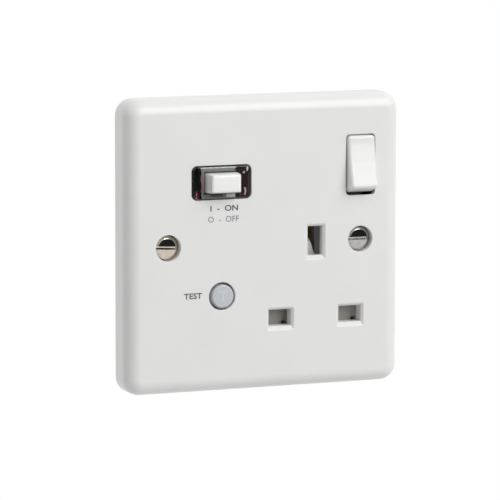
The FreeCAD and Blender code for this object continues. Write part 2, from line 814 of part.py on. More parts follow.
def cut_plate_holes(body):
    """Openings for the window, buttons, rocker and screws."""
    pocket(body, "window_opening", "y", FACE, WALL_BACK, centred(*WINDOW))
    dress("Fillet", body, "window_corners", "window_round", lambda edge: on_corner(edge, *WINDOW))
    pocket(body, "test_hole", "y", FACE, WALL_BACK, ("test_x", "test_z", "test_radius + test_gap"))
    recess = ("test_x", "test_z", "test_radius + test_gap + test_flange")
    pocket(body, "test_recess", "y", WALL_BACK, f"{WALL_BACK} + test_guide_deep", recess)
    left, right = ROCKER_OPENING
    opening_radius = "sqrt(rocker_half ^ 2 + rocker_pivot_deep ^ 2) + rocker_gap"
    pocket(body, "rocker_opening", "x", left, right, (PIVOT_Y, "rocker_z", opening_radius))

    def on_opening_corner(edge):
        return on_arc(edge, ROCKER_OPENING, opening_radius)

    dress("Fillet", body, "rocker_opening_corners", "rocker_corner", on_opening_corner)
    bearing = (PIVOT_Y, "rocker_z", "pivot_radius + pivot_gap")
    pocket(body, "rocker_bearings", "x", f"({left}) - cheek_wall", f"({right}) + cheek_wall", bearing)
    heads = [(x, z, "fixing_head / 2 + fixing_head_gap") for x, z in FIXING_PLACES]
    pocket(body, "fixing_head_recesses", "y", FACE, HEAD_SEAT, *heads)
    shanks = [(x, z, "fixing_thread / 2 + fixing_hole_gap") for x, z in FIXING_PLACES]
    pocket(body, "fixing_holes", "y", HEAD_SEAT, "-post_short", *shanks)
    pilots = [(x, z, "assembly_thread / 2 + screw_gap") for x, z in ASSEMBLY_PLACES]
    pocket(body, "assembly_pilots", "y", f"{FRAME_FRONT} - assembly_bite", FRAME_FRONT, *pilots)


def fixing_screws():
    """Two slotted screws that hold the plate to the wall box, threaded behind the plate."""
    screws = []
    top = "(-fixing_head_depth)"
    thread_start = f"(-{HEAD_SEAT})"
    for name, (x, z), turn in zip(("left", "right"), FIXING_PLACES, ("fixing_slot_tilt", "0")):
        body = new_body(f"fixing_screw_{name}")
        pad(body, f"{name}_head", "y", top, "0", ("0", "0", "fixing_head / 2"))
        dress("Fillet", body, f"{name}_head_edge", "fixing_head_round", lambda edge: lies(edge, "y", top))
        pad(body, f"{name}_neck", "y", "0", thread_start, ("0", "0", "fixing_neck / 2"))
        pad(body, f"{name}_thread", "y", thread_start, "fixing_length", ("0", "0", "fixing_thread / 2"))
        slot = centred("0", "0", "fixing_head + 1", "fixing_slot")
        pocket(body, f"{name}_slot", "y", top, f"{top} + fixing_slot_deep", slot)
        body.Placement = FreeCAD.Placement(FreeCAD.Vector(), FreeCAD.Rotation(FreeCAD.Vector(0, 1, 0), 1))
        bind(body, "Placement.Rotation.Angle", turn)
        place(body, x, HEAD_SEAT, z)
        screws.append(body)
    return group("fixing_screws", *screws)


def assembly_screws():
    """Screws from the back that hold the frame and the housing to the plate."""
    tip = f"({FRAME_FRONT} - assembly_bite + assembly_short)"
    screws = []
    for number, (x, z) in enumerate(ASSEMBLY_PLACES):
        screws.append(back_screw(f"assembly_screw_{number}", "assembly", x, z, tip, "assembly_seat"))
    return group("assembly_screws", *screws)


# Reset button, its window and the flag behind it
def window_lens():
    body = new_body("window_lens")
    front = f"({FACE} - window_proud)"
    pad(body, "lens_block", "y", front, WALL_BACK, grown(WINDOW, "-window_gap"))
    dress("Fillet", body, "lens_corners", "window_round - window_gap", lambda edge: runs(edge, "y"))
    dress("Chamfer", body, "lens_front_edge", "window_chamfer", lambda edge: lies(edge, "y", front))
    pad(body, "lens_flange", "y", WALL_BACK, WINDOW_BACK, grown(WINDOW, "window_lip"))
    pocket(body, "lens_hole", "y", front, WINDOW_BACK, grown(RESET_BASE, "reset_gap"))
    return body


def reset_button():
    body = new_body("reset_button")
    front = f"({FACE} - reset_proud)"
    small = centred("window_x", "window_z", "reset_wide", "reset_tall")
    taper("AdditiveLoft", body, "button_block", front, small, RESET_BACK, centred(*RESET_BASE))
    dress("Fillet", body, "button_front_edge", "reset_round", lambda edge: lies(edge, "y", front))
    stem_end = "carrier_front - touch_gap"
    pad(body, "button_stem", "y", RESET_BACK, stem_end, ("window_x", "window_z", "stem_radius"))
    return body


def reset_spring():
    length = f"{FRAME_FRONT} - {RESET_BACK}"
    at = ("window_x", RESET_BACK, "window_z")
    return coil_spring("reset_spring", "y", *at, "reset_spring_radius", "reset_spring_wire", length, 4)


def indicator_flag():
    """Two coloured pads beside the button, joined by a bar below it."""
    body = new_body("indicator_flag")
    half = "(window_wide / 2 - flag_inset)"
    low = "(window_z - window_tall / 2 - flag_travel - flag_over)"
    top = "(window_z + window_tall / 2 + flag_over)"
    pads = [
        rectangle((f"window_x - {half}", f"window_x - {half} + flag_pad"), (low, top)),
        rectangle((f"window_x + {half} - flag_pad", f"window_x + {half}"), (low, top)),
    ]
    pad(body, "flag_pads", "y", FLAG_FRONT, FLAG_BACK, *pads)
    bar = rectangle((f"window_x - {half}", f"window_x + {half}"), (low, f"{low} + flag_bar"))
    pad(body, "flag_bar_strip", "y", FLAG_FRONT, FLAG_BACK, bar)
    return body


# Test button and the contacts that it closes
def test_button():
    body = new_body("test_button")
    front = f"({FACE} - test_proud)"
    pad(body, "test_cap", "y", front, TEST_COLLAR_FRONT, ("test_x", "test_z", "test_radius"))
    dress("Fillet", body, "test_cap_edge", "test_round", lambda edge: lies(edge, "y", front))
    collar = ("test_x", "test_z", "test_radius + test_flange")
    pad(body, "test_collar", "y", TEST_COLLAR_FRONT, TEST_COLLAR_BACK, collar)
    pad(body, "test_stem_rod", "y", TEST_COLLAR_BACK, TEST_STEM_END, ("test_x", "test_z", "test_stem"))
    return body


def test_spring():
    length = f"{FRAME_FRONT} - {TEST_COLLAR_BACK}"
    at = ("test_x", TEST_COLLAR_BACK, "test_z")
    return coil_spring("test_spring", "y", *at, "test_spring_radius", "test_spring_wire", length, 4)


def test_strip():
    deep = (TEST_STRIP_FRONT, TEST_STRIP_BACK)
    strip = block("test_strip", TEST_STRIP_ACROSS, deep, span("test_z", "test_strip_wide"))
    strip.Label = "test_strip"
    return strip


def test_pin():
    start = f"({TEST_STRIP_BACK} + test_pin_gap)"
    pin = rod("test_pin", "y", "test_x", start, "test_z", "test_pin_radius", f"board_front - {start}")
    pin.Label = "test_pin"
    return pin


# Rocker switch
def on_rocker(item):
    """Turn a piece to the off position about the rocker's pins."""
    tilt(item, "-rocker_swing / 2")
    place(item, "0", PIVOT_Y, "rocker_z")
    return item


def rocker():
    """A V-faced rocker, drawn about its pins and then turned to off."""
    body = new_body("rocker")
    sides = span("rocker_x", "rocker_wide")
    half_swing = "rocker_swing / 2"
    proud = "(rocker_pivot_deep + rocker_apex)"
    apex = f"({proud} / cos({half_swing}))"
    heel_y = f"(-rocker_half * sin({half_swing}))"
    heel_z = f"(rocker_half * cos({half_swing}))"
    nose_y = f"({heel_y} - {proud} * cos({half_swing}))"
    nose_z = f"({heel_z} - {proud} * sin({half_swing}))"
    back_z = f"({heel_z} - rocker_back * tan({half_swing}))"
    upper = [(nose_y, nose_z), (heel_y, heel_z), ("rocker_back", back_z)]
    lower = [(y, f"-{z}") for y, z in reversed(upper)]
    pad(body, "rocker_block", "x", *sides, [(f"-{apex}", "0"), *upper, *lower])

    def on_end_corner(edge):
        middle = edge.BoundBox.Center
        at_end = abs(middle.z) > measure(nose_z) and middle.y < measure(heel_y)
        return at_end and any(lies(edge, "x", side) for side in sides)

    dress("Fillet", body, "rocker_corners", "rocker_corner", on_end_corner)

    def on_front_edge(edge):
        return within(edge, "y", nose_y, f"-{apex}") and not lies(edge, "z", "0")

    dress("Fillet", body, "rocker_edges", "rocker_edge", on_front_edge)
    left, right = ROCKER_OPENING
    pins = (f"({left}) - cheek_wall + pivot_short", f"({right}) + cheek_wall - pivot_short")
    hollow_across = span("rocker_x", "rocker_wide - 2 * rocker_wall")
    hollow_ends = ("tail_radius + rocker_wall", "rocker_half - 2 * rocker_wall")
    hollows = [
        rectangle(hollow_across, hollow_ends),
        rectangle(hollow_across, (f"-({hollow_ends[1]})", f"-({hollow_ends[0]})")),
    ]
    pocket(body, "rocker_hollows", "y", "-rocker_hollow", "rocker_back", *hollows)
    pad(body, "rocker_pins", "x", *pins, ("0", "0", "pivot_radius"))
    pad(body, "rocker_tail", "y", "0", "tail_reach", ("switch_x", "0", "tail_radius"))
    pocket(body, "tail_hole", "y", "-tail_bore_deep", "tail_reach", ("switch_x", "0", "tail_bore"))
    return on_rocker(body)


def rocker_plunger():
    body = new_body("rocker_plunger")
    start = "plunger_reach - plunger_long"
    pad(body, "plunger_rod", "y", start, "plunger_reach", ("switch_x", "0", "plunger_radius"))
    dress("Fillet", body, "plunger_tip", "plunger_round", lambda edge: lies(edge, "y", "plunger_reach"))
    return on_rocker(body)


def plunger_spring():
    length = "plunger_reach - plunger_long + tail_bore_deep"
    at = ("switch_x", "-tail_bore_deep", "0")
    size = ("plunger_spring_radius", "plunger_spring_wire")
    coil = coil_spring("plunger_spring_coil", "y", *at, *size, length, 4)
    return on_rocker(group("plunger_spring", coil))


def switch_bridge():
    """A see-saw contact, drawn about its ridge and then turned to off."""
    body = new_body("switch_bridge")
    across = span("switch_x", "bridge_wide")
    bar = rectangle(across, ("-bridge_half", "bridge_half"))
    pad(body, "bridge_bar", "y", "-bridge_thick", "0", bar)
    pad(body, "bridge_ridge_rod", "x", *across, ("0", "0", "bridge_ridge"))
    rivet = ("switch_x", "bridge_half - rivet_radius", "rivet_radius")
    pad(body, "bridge_rivet", "y", "0", "rivet_high", rivet)
    tilt(body, "bridge_swing / 2")
    place(body, "0", BRIDGE_PIVOT_Y, "rocker_z")
    return body


def live_feed_strap():
    """A brass strap from the live terminal up to the post that the bridge rocks on."""
    deep = (FEED_FRONT, f"{FEED_FRONT} + strip_thick")
    post_front = f"({BRIDGE_PIVOT_Y} + bridge_ridge + bridge_gap)"
    inner = ("notch_x - housing_wall - strap_inset - strap_wide", "notch_x - housing_wall - strap_inset")
    switch_side = span("switch_x", "strip_wide")
    pillar = block("feed_post", switch_side, (post_front, deep[1]), span("rocker_z", "strip_wide"))
    top = block("feed_top", (inner[0], switch_side[1]), deep, span("rocker_z", "strap_wide"))
    drop = block("feed_drop", inner, deep, (FEED_LOW, "rocker_z + strap_wide / 2"))
    foot_left = f"({LIVE_TERMINAL_X} - terminal_wide / 2)"
    foot_side = (foot_left, f"{foot_left} + strap_wide")
    cross = block("feed_cross", (inner[0], foot_side[1]), deep, (FEED_LOW, f"{FEED_LOW} + strap_wide"))
    foot = block("feed_foot", foot_side, deep, (TERMINAL_TOP, f"{FEED_LOW} + strap_wide"))
    return fuse("live_feed_strap", pillar, top, drop, cross, foot)


# Shutter
def shutter():
    """A plate over the two line apertures, with a sloped arm up to the earth aperture."""
    body = new_body("shutter")
    left = f"({NEUTRAL_X} - line_wide / 2 - shutter_side)"
    right = f"({LIVE_X} + line_wide / 2 + shutter_side)"
    bar_left, bar_right = span("socket_x", "shutter_bar_wide")
    arm_left = "(socket_x - earth_wide / 2 - shutter_side)"
    tab_right = f"({SHUTTER_SPRING_X} + spring_seat_wide / 2)"
    outline = [
        (left, WING_LOW),
        (right, WING_LOW),
        (right, WING_TOP),
        (bar_right, WING_TOP),
        (bar_right, BAR_TOP),
        (tab_right, BAR_TOP),
        (tab_right, f"{SPRING_TOP} + shutter_tab"),
        (f"{arm_left} + shutter_arm + shutter_slope", f"{SPRING_TOP} + shutter_tab"),
        (f"{arm_left} + shutter_arm + shutter_slope", EARTH_LOW),
        (f"{arm_left} + shutter_arm", ARM_TOP),
        (arm_left, ARM_TOP),
        (arm_left, BAR_TOP),
        (bar_left, BAR_TOP),
        (bar_left, WING_TOP),
        (left, WING_TOP),
    ]
    pad(body, "shutter_plate", "y", SHUTTER_FRONT, SHUTTER_BACK, outline)
    notch_x = "line_wide / 2 - shutter_notch_inset"
    notch_z = f"{LINE_Z} - line_tall / 2 + shutter_notch_inset"
    notches = [(f"{x} + {notch_x}", notch_z, "shutter_notch") for x, z in LINE_PLACES]
    pocket(body, "shutter_notches", "y", SHUTTER_FRONT, SHUTTER_BACK, *notches)

    def on_arm_tip(edge):
        return lies(edge, "z", ARM_TOP) and lies(edge, "y", SHUTTER_FRONT)

    dress("Chamfer", body, "shutter_ramp_face", "shutter_ramp", on_arm_tip)
    tab = rectangle(span(SHUTTER_SPRING_X, "spring_seat_wide"), (SPRING_TOP, f"{SPRING_TOP} + shutter_tab"))
    pad(body, "shutter_spring_tab", "y", f"{WALL_BACK} + slide_gap", SHUTTER_BACK, tab)
    return body


def shutter_spring():
    at = (SHUTTER_SPRING_X, f"({WALL_BACK} + spring_stand_off)", SPRING_SEAT)
    size = ("shutter_spring_radius", "shutter_spring_wire")
    return coil_spring("shutter_spring", "z", *at, *size, "shutter_spring_room", 10)


# Inner frame and rear housing
def inner_frame():
    body = new_body("inner_frame")
    pad(body, "frame_plate", "y", FRAME_FRONT, FRAME_BACK, back_outline("0"))
    holes = [grown(hole, "frame_hole_gap") for hole in PIN_HOLES]
    tail = "2 * tail_radius"
    holes.append(centred("switch_x", "rocker_z", f"{tail} + tail_slot_gap", f"{tail} + tail_slot_tall"))
    holes.append(("window_x", "window_z", "stem_radius + frame_hole_gap"))
    holes.append(("test_x", "test_z", "test_stem + frame_hole_gap"))
    holes += [(x, z, "assembly_thread / 2 + screw_gap") for x, z in ASSEMBLY_PLACES]
    pocket(body, "frame_holes", "y", FRAME_FRONT, FRAME_BACK, *holes)
    half = "(window_wide / 2 - flag_inset)"
    low = "(window_z - window_tall / 2 - flag_travel - flag_over)"
    top = "(window_z + window_tall / 2 + flag_over + flag_travel)"
    rails = [
        rectangle((f"window_x - {half}", f"window_x - {half} + flag_rail"), (low, top)),
        rectangle((f"window_x + {half} - flag_rail", f"window_x + {half}"), (low, top)),
    ]
    pad(body, "flag_rails", "y", f"{FLAG_BACK} + touch_gap", FRAME_FRONT, *rails)
    guides = [(x, "window_z", "guide_radius") for x in CARRIER_GUIDES]
    pad(body, "carrier_guides", "y", FRAME_BACK, "guide_reach", *guides)
    left = TEST_STRIP_ACROSS[0]
    post = rectangle((left, f"({left}) + test_post"), span("test_z", "test_strip_wide"))
    pad(body, "test_strip_post", "y", FRAME_BACK, TEST_STRIP_FRONT, post)
    latch_boss = ("latch_x", LATCH_Z, "latch_pin_radius + latch_boss_wall")
    boss_back = "latch_front - touch_gap"
    pad(body, "latch_boss", "y", FRAME_BACK, boss_back, latch_boss)
    pin_hole = ("latch_x", LATCH_Z, "latch_pin_radius + pin_gap")
    pocket(body, "latch_pin_hole", "y", "latch_pin_start", boss_back, pin_hole)
    return body


def rear_housing():
    body = new_body("rear_housing")
    pad(body, "housing_block", "y", FRAME_BACK, "housing_depth", back_outline("0"))
    outside = ("0", "0", "housing_width", "housing_height")
    dress("Fillet", body, "housing_corners", "housing_round", lambda edge: on_corner(edge, *outside))
    pocket(body, "housing_hollow", "y", FRAME_BACK, FLOOR_FRONT, back_outline("housing_wall"))
    columns = [(x, z, "column_radius") for x, z in ASSEMBLY_PLACES]
    pad(body, "screw_columns", "y", FRAME_BACK, FLOOR_FRONT, *columns)
    add_contact_wells(body)
    add_housing_pillars(body)
    seats = [(x, z, "assembly_head / 2 + column_gap") for x, z in ASSEMBLY_PLACES]
    pocket(body, "screw_recesses", "y", "assembly_seat", "housing_depth", *seats)
    shanks = [(x, z, "assembly_thread / 2 + screw_gap") for x, z in ASSEMBLY_PLACES]
    pocket(body, "screw_holes", "y", FRAME_BACK, "assembly_seat", *shanks)
    heads = [(x, TERMINAL_MIDDLE, "terminal_head / 2 + entry_gap") for x in TERMINAL_PLACES]
    pocket(body, "terminal_screw_holes", "y", FLOOR_FRONT, "housing_depth", *heads)
    entries = [(x, "terminal_bore_y", "terminal_bore + entry_gap") for x in TERMINAL_PLACES]
    pocket(body, "cable_entries", "z", "-housing_height / 2", TERMINAL_LOW, *entries)
    return body


def add_contact_wells(body):
    """Walls round the pin contacts, and the shelves that the contacts stand on."""
    line_wide = "line_leaf + 2 * well_gap"
    line_tall = "line_grip + 2 * grip_thick + 2 * well_gap"
    earth_wide = "earth_grip + 2 * grip_thick + 2 * well_gap"
    earth_tall = "earth_leaf + 2 * well_gap"
    line_shelf = rectangle(
        (f"{NEUTRAL_X} - line_leaf / 2 - well_gap - well_wall", "housing_width / 2 - housing_wall"),
        (TERMINAL_LOW, f"{LINE_Z} + ({line_tall}) / 2 + well_wall"),
    )
    pad(body, "line_shelf", "y", LINE_SHELF, TERMINAL_FRONT, line_shelf)
    earth_shelf = rectangle(
        (f"socket_x - ({earth_wide}) / 2 - well_wall", "notch_x - housing_wall"),
        span("earth_z", f"{earth_tall} + 2 * well_wall"),
    )
    pad(body, "earth_shelf", "y", EARTH_SHELF, EARTH_SHELF_BACK, earth_shelf)
    line_rooms = [(x, z, line_wide, line_tall) for x, z in LINE_PLACES]
    line_walls = [grown(room, "well_wall") for room in line_rooms]
    pad(body, "line_wells", "y", FRAME_BACK, LINE_SHELF, *line_walls)
    earth_room = ("socket_x", "earth_z", earth_wide, earth_tall)
    pad(body, "earth_well", "y", FRAME_BACK, EARTH_SHELF, grown(earth_room, "well_wall"))
    pocket(body, "line_rooms", "y", FRAME_BACK, LINE_SHELF, *[centred(*room) for room in line_rooms])
    pocket(body, "earth_room", "y", FRAME_BACK, EARTH_SHELF, centred(*earth_room))
    slots = [rectangle(span(x, "link_wide + 2 * well_gap"), LEG_SLOT) for x, z in LINE_PLACES]
    pocket(body, "link_slots", "y", LINE_SHELF, TERMINAL_FRONT, *slots)
    strap = centred("socket_x", "earth_z", "link_wide + 2 * well_gap", "link_wide + 2 * well_gap")
    pocket(body, "earth_strap_slot", "y", EARTH_SHELF, EARTH_SHELF_BACK, strap)


def add_housing_pillars(body):
    """Pillars on the floor under the circuit board and under the switch's contacts."""
    ends = ["board_left + pillar_inset", "board_right - pillar_inset"]
    heights = [f"{BOARD_LOW} + pillar_inset", f"{BOARD_TOP} - pillar_inset"]
    board = [(x, z, "pillar_radius") for x in ends for z in heights]
    pad(body, "board_pillars", "y", BOARD_BACK, FLOOR_FRONT, *board)
    feed = centred("switch_x", "rocker_z", "strip_wide", "strip_wide")
    pad(body, "feed_pillar", "y", f"{FEED_FRONT} + strip_thick", FLOOR_FRONT, feed)
    riser = rectangle(span("switch_x", "strip_wide"), (f"{RISER_TOP} - strip_wide", RISER_TOP))
    pad(body, "riser_pillar", "y", FIXED_BACK, FLOOR_FRONT, riser)


# Pin contacts, terminals and the straps between them
def line_contact(name, x):
    """Two leaves that grip a line pin from above and below, on one web."""
    body = new_body(name)
    across = span(x, "line_leaf")
    grip = "line_grip + 2 * grip_thick"
    pad(body, f"{name}_block", "y", "grip_front", "line_reach", rectangle(across, span(LINE_Z, grip)))
    gap = rectangle(span(x, "line_leaf + 1"), span(LINE_Z, "line_grip"))
    pocket(body, f"{name}_gap", "y", "grip_front", "line_reach - grip_thick", gap)
    return body


def earth_contact():
    """Two leaves that grip the earth pin from its sides, on one web."""
    body = new_body("earth_contact")
    grip = span("socket_x", "earth_grip + 2 * grip_thick")
    pad(body, "earth_block", "y", "grip_front", "earth_reach", rectangle(grip, span("earth_z", "earth_leaf")))
    gap = rectangle(span("socket_x", "earth_grip"), span("earth_z", "earth_leaf + 1"))
    pocket(body, "earth_gap", "y", "grip_front", "earth_reach - grip_thick", gap)
    return body


def terminal(name, x):
    """A brass block with a cable bore from below and a screw hole from the back."""
    body = new_body(name)
    outline = rectangle(span(x, "terminal_wide"), (TERMINAL_LOW, TERMINAL_TOP))
    pad(body, f"{name}_block", "y", TERMINAL_FRONT, TERMINAL_BACK, outline)
    pocket(body, f"{name}_bore", "z", TERMINAL_LOW, TERMINAL_TOP, (x, "terminal_bore_y", "terminal_bore"))
    thread = (x, TERMINAL_MIDDLE, "terminal_thread / 2 + screw_gap")
    pocket(body, f"{name}_thread", "y", "terminal_bore_y", TERMINAL_BACK, thread)
    return body


def terminal_screws():
    """Three slotted screws, backed out so that the cable bores are free."""
    tip = "(terminal_bore_y + terminal_bore + tip_gap)"
    seat = f"({TERMINAL_BACK} + terminal_backed)"
    screws = []
    for number, x in enumerate(TERMINAL_PLACES):
        screws.append(back_screw(f"terminal_screw_{number}", "terminal", x, TERMINAL_MIDDLE, tip, seat))
    return group("terminal_screws", *screws)


def earth_strap():
    deep = (EARTH_SHELF_BACK, f"{EARTH_SHELF_BACK} + strip_thick")
    across = span("socket_x", "link_wide")
    leg = block("earth_leg", across, ("earth_reach", deep[1]), span("earth_z", "link_wide"))
    run = block("earth_run", across, deep, (TERMINAL_TOP, "earth_z + link_wide / 2"))
    return fuse("earth_strap", leg, run)


def link(name, pin_x, through_x, pole_x, cross, level, step_x, run_low):
    """A strap from a pin contact, back through the toroid and up to a fixed contact."""
    deep = (level, f"{level} + strip_thick")
    start_up = (f"{LEG_TOP} - strip_thick", f"{LEG_TOP} - strip_thick + link_wide")
    run_up = (run_low, f"{run_low} + link_wide")
    pin_side = span(pin_x, "link_wide")
    step_side = (step_x, f"{step_x} + link_wide")
    through = span(through_x, "link_wide")
    pole = span(pole_x, "strip_wide")
    thin = span("toroid_z", "strip_thick")
    front = (LINK_FRONT, f"{LINK_FRONT} + strip_thick")
    top = (f"{LINK_TURN} - link_wide", LINK_TURN)
    edge = (f"{LINK_TURN} - strip_thick", LINK_TURN)
    pieces = [
        block(f"{name}_leg", pin_side, ("line_reach", deep[1]), (start_up[0], LEG_TOP)),
        block(f"{name}_start", (step_x, pin_side[1]), deep, start_up),
        block(f"{name}_step", step_side, deep, (start_up[0], run_up[1])),
        block(f"{name}_run", (through[0], step_side[1]), deep, run_up),
        block(f"{name}_rise", through, deep, (run_low, thin[1])),
        block(f"{name}_core_bar", through, (front[0], deep[1]), thin),
        block(f"{name}_front_rise", through, front, (thin[0], LINK_TURN)),
        block(f"{name}_front_cross", cross, front, top),
        block(f"{name}_back_leg", pole, (front[0], FIXED_BACK), edge),
        block(f"{name}_plate", pole, (FIXED_FRONT, FIXED_BACK), (edge[0], LOWER_PLATE_TOP)),
        block(f"{name}_foot", pole, (FIXED_BACK, "board_front"), edge),
        fixed_rivet(name, pole_x, LOWER_RIVET_Z),
    ]
    return fuse(name, *pieces)


def fixed_rivet(name, x, z):
    return rod(f"{name}_rivet", "y", x, RIVET_FRONT, z, "rivet_radius", "rivet_high")


def live_link():
    cross = (span(LINK_LIVE, "link_wide")[0], span(POLE_LIVE, "strip_wide")[1])
    return link("live_link", LIVE_X, LINK_LIVE, POLE_LIVE, cross, LIVE_LINK_Y, STEP_X, LIVE_RUN_LOW)


def neutral_link():
    cross = (span(POLE_NEUTRAL, "strip_wide")[0], span(LINK_NEUTRAL, "link_wide")[1])
    places = (NEUTRAL_X, LINK_NEUTRAL, POLE_NEUTRAL)
    return link("neutral_link", *places, cross, NEUTRAL_LINK_Y, NEUTRAL_STEP_X, NEUTRAL_RUN_LOW)


def live_supply_contact():
    """The fixed contact above the live pole, and its strap across to the switch."""
    deep = (FIXED_FRONT, FIXED_BACK)
    pole = span(POLE_LIVE, "strip_wide")
    riser = span("switch_x", "strip_wide")
    strap_up = (SUPPLY_STRAP_LOW, f"{SUPPLY_STRAP_LOW} + strap_wide")
    foot_up = (f"{UPPER_PLATE_TOP} - strip_thick", UPPER_PLATE_TOP)
    leg_up = (f"{RISER_TOP} - strip_thick", RISER_TOP)
    tip_deep = (SWITCH_FIXED, f"{SWITCH_FIXED} + strip_thick")
    pieces = [
        block("live_supply_plate", pole, deep, (UPPER_PLATE_LOW, UPPER_PLATE_TOP)),
        block("live_supply_foot", pole, (FIXED_BACK, "board_front"), foot_up),
        block("live_supply_strap", (pole[0], riser[1]), deep, strap_up),
        block("live_supply_riser", riser, deep, (strap_up[0], RISER_TOP)),
        block("live_supply_leg", riser, (SWITCH_FIXED, FIXED_BACK), leg_up),
        block("live_supply_tip", riser, tip_deep, (SWITCH_TIP_LOW, RISER_TOP)),
        fixed_rivet("live_supply", POLE_LIVE, UPPER_RIVET_Z),
    ]
    return fuse("live_supply_contact", *pieces)


def neutral_supply_contact():
    """The fixed contact above the neutral pole, and its strap down to the terminal."""
    pole = span(POLE_NEUTRAL, "strip_wide")
    side_left = f"({NEUTRAL_TERMINAL_X} - terminal_wide / 2)"
    side = (side_left, f"{side_left} + strap_wide")
    deep = (NEUTRAL_RUN, f"{NEUTRAL_RUN} + strip_thick")
    top = (f"{NEUTRAL_TOP} - strap_wide", NEUTRAL_TOP)
    pieces = [
        block("neutral_supply_rise", side, deep, (TERMINAL_TOP, NEUTRAL_TOP)),
        block("neutral_supply_run", (pole[0], side[1]), deep, top),
        block("neutral_supply_leg", pole, (FIXED_FRONT, deep[1]), top),
        block("neutral_supply_plate", pole, (FIXED_FRONT, FIXED_BACK), (UPPER_PLATE_LOW, NEUTRAL_TOP)),
        fixed_rivet("neutral_supply", POLE_NEUTRAL, UPPER_RIVET_Z),
    ]
    return fuse("neutral_supply_contact", *pieces)


# Contact carrier
def contact_carrier():
    body = new_body("contact_carrier")
    outline = centred("window_x", "window_z", "carrier_wide", "carrier_tall")
    pad(body, "carrier_block", "y", "carrier_front", CARRIER_BACK, outline)
    guides = [(x, "window_z", "guide_radius + guide_gap") for x in CARRIER_GUIDES]
    pocket(body, "carrier_holes", "y", "carrier_front", CARRIER_BACK, *guides)
    return body


def moving_contact(name, x):
    """A strip across the carrier's back with a rivet near each end."""
    strip_back = f"({CARRIER_BACK} + strip_thick)"
    deep = (CARRIER_BACK, strip_back)
    strip = block(f"{name}_strip", span(x, "strip_wide"), deep, span("window_z", "2 * pole_half"))
    low = rod(f"{name}_low_rivet", "y", x, strip_back, LOWER_RIVET_Z, "rivet_radius", "rivet_high")
    high = rod(f"{name}_high_rivet", "y", x, strip_back, UPPER_RIVET_Z, "rivet_radius", "rivet_high")
    return fuse(name, strip, low, high)


def carrier_spring():
    at = ("window_x", CARRIER_BACK, "window_z")
    size = ("carrier_spring_radius", "carrier_spring_wire")
    return coil_spring("carrier_spring", "y", *at, *size, f"board_front - {CARRIER_BACK}", 6)


# Sensing coil and circuit board
def toroid_core():
    long = f"board_front - {CORE_FRONT} - winding_thick"
    ring = rod("core_outside", "y", "toroid_x", CORE_FRONT, "toroid_z", "core_outer", long)
    hole = rod("core_hole", "y", "toroid_x", CORE_FRONT, "toroid_z", "core_inner", long)
    return cut("toroid_core", ring, hole)


def toroid_winding():
    """The copper turns as one skin round the core."""
    start = f"({CORE_FRONT} - winding_thick)"
    long = f"board_front - {start}"
    at = ("toroid_x", start, "toroid_z")
    outside = rod("winding_outside", "y", *at, "core_outer + winding_thick", long)
    hole = rod("winding_hole", "y", *at, "core_inner - winding_thick", long)
    ring = cut("winding_ring", outside, hole)
    room_long = f"{long} - 2 * winding_thick"
    room = rod("winding_room", "y", "toroid_x", CORE_FRONT, "toroid_z", "core_outer", room_long)
    middle = rod("winding_middle", "y", "toroid_x", CORE_FRONT, "toroid_z", "core_inner", room_long)
    return cut("toroid_winding", ring, cut("winding_core_room", room, middle))


def circuit_board():
    body = new_body("circuit_board")
    outline = rectangle(("board_left", "board_right"), (BOARD_LOW, BOARD_TOP))
    pad(body, "board_plate", "y", "board_front", BOARD_BACK, outline)
    links = centred("toroid_x", "toroid_z", "link_apart + link_wide + 1", "link_wide")
    pocket(body, "board_link_hole", "y", "board_front", BOARD_BACK, links)
    return body


def varistor():
    at = ("varistor_x", "board_front - varistor_long", VARISTOR_Z)
    disc = rod("varistor", "y", *at, "varistor_radius", "varistor_long")
    disc.Label = "varistor"
    return disc


def board_block(name, z):
    """A square component on the board, at a height, from its own width, height and depth."""
    across = span(f"{name}_x", f"{name}_wide")
    up = span(z, f"{name}_tall")
    item = block(name, across, (f"board_front - {name}_deep", "board_front"), up)
    item.Label = name
    return item


def board_rods(name, places, radius, long):
    """Small round components that lie upright on the board."""
    pieces = []
    for number, (x, z) in enumerate(places):
        pieces.append(rod(f"{name}_{number}", "z", x, f"board_front - {radius}", z, radius, long))
    return group(name, *pieces)


# Solenoid and latch
def solenoid_bobbin():
    """A tube with a flange at each end."""
    body = new_body("solenoid_bobbin")
    square = rectangle(span("solenoid_x", "2 * bobbin_half"), span("solenoid_y", "2 * bobbin_half"))
    middle = ("solenoid_x", "solenoid_y")
    pad(body, "bobbin_low_flange", "z", SOLENOID_LOW, f"{SOLENOID_LOW} + bobbin_flange", square)
    pad(body, "bobbin_tube_rod", "z", SOLENOID_LOW, SOLENOID_TOP, (*middle, "bobbin_tube"))
    pad(body, "bobbin_top_flange", "z", f"{SOLENOID_TOP} - bobbin_flange", SOLENOID_TOP, square)
    pocket(body, "bobbin_hole", "z", SOLENOID_LOW, SOLENOID_TOP, (*middle, "bobbin_bore"))
    return body


def solenoid_coil():
    low = f"{SOLENOID_LOW} + bobbin_flange"
    long = "solenoid_long - 2 * bobbin_flange"
    outside = rod("coil_outside", "z", "solenoid_x", "solenoid_y", low, "coil_radius", long)
    hole = rod("coil_hole", "z", "solenoid_x", "solenoid_y", low, "bobbin_tube", long)
    return cut("solenoid_coil", outside, hole)


def solenoid_plunger():
    start = f"({SOLENOID_LOW} + bobbin_flange)"
    top = f"({SOLENOID_TOP} + slide_gap)"
    middle = ("solenoid_x", "solenoid_y")
    stem = rod("armature_stem", "z", *middle, start, "armature_radius", f"{top} - {start}")
    head = rod("armature_cap", "z", *middle, top, "bobbin_tube", "armature_head")
    return fuse("solenoid_plunger", stem, head)


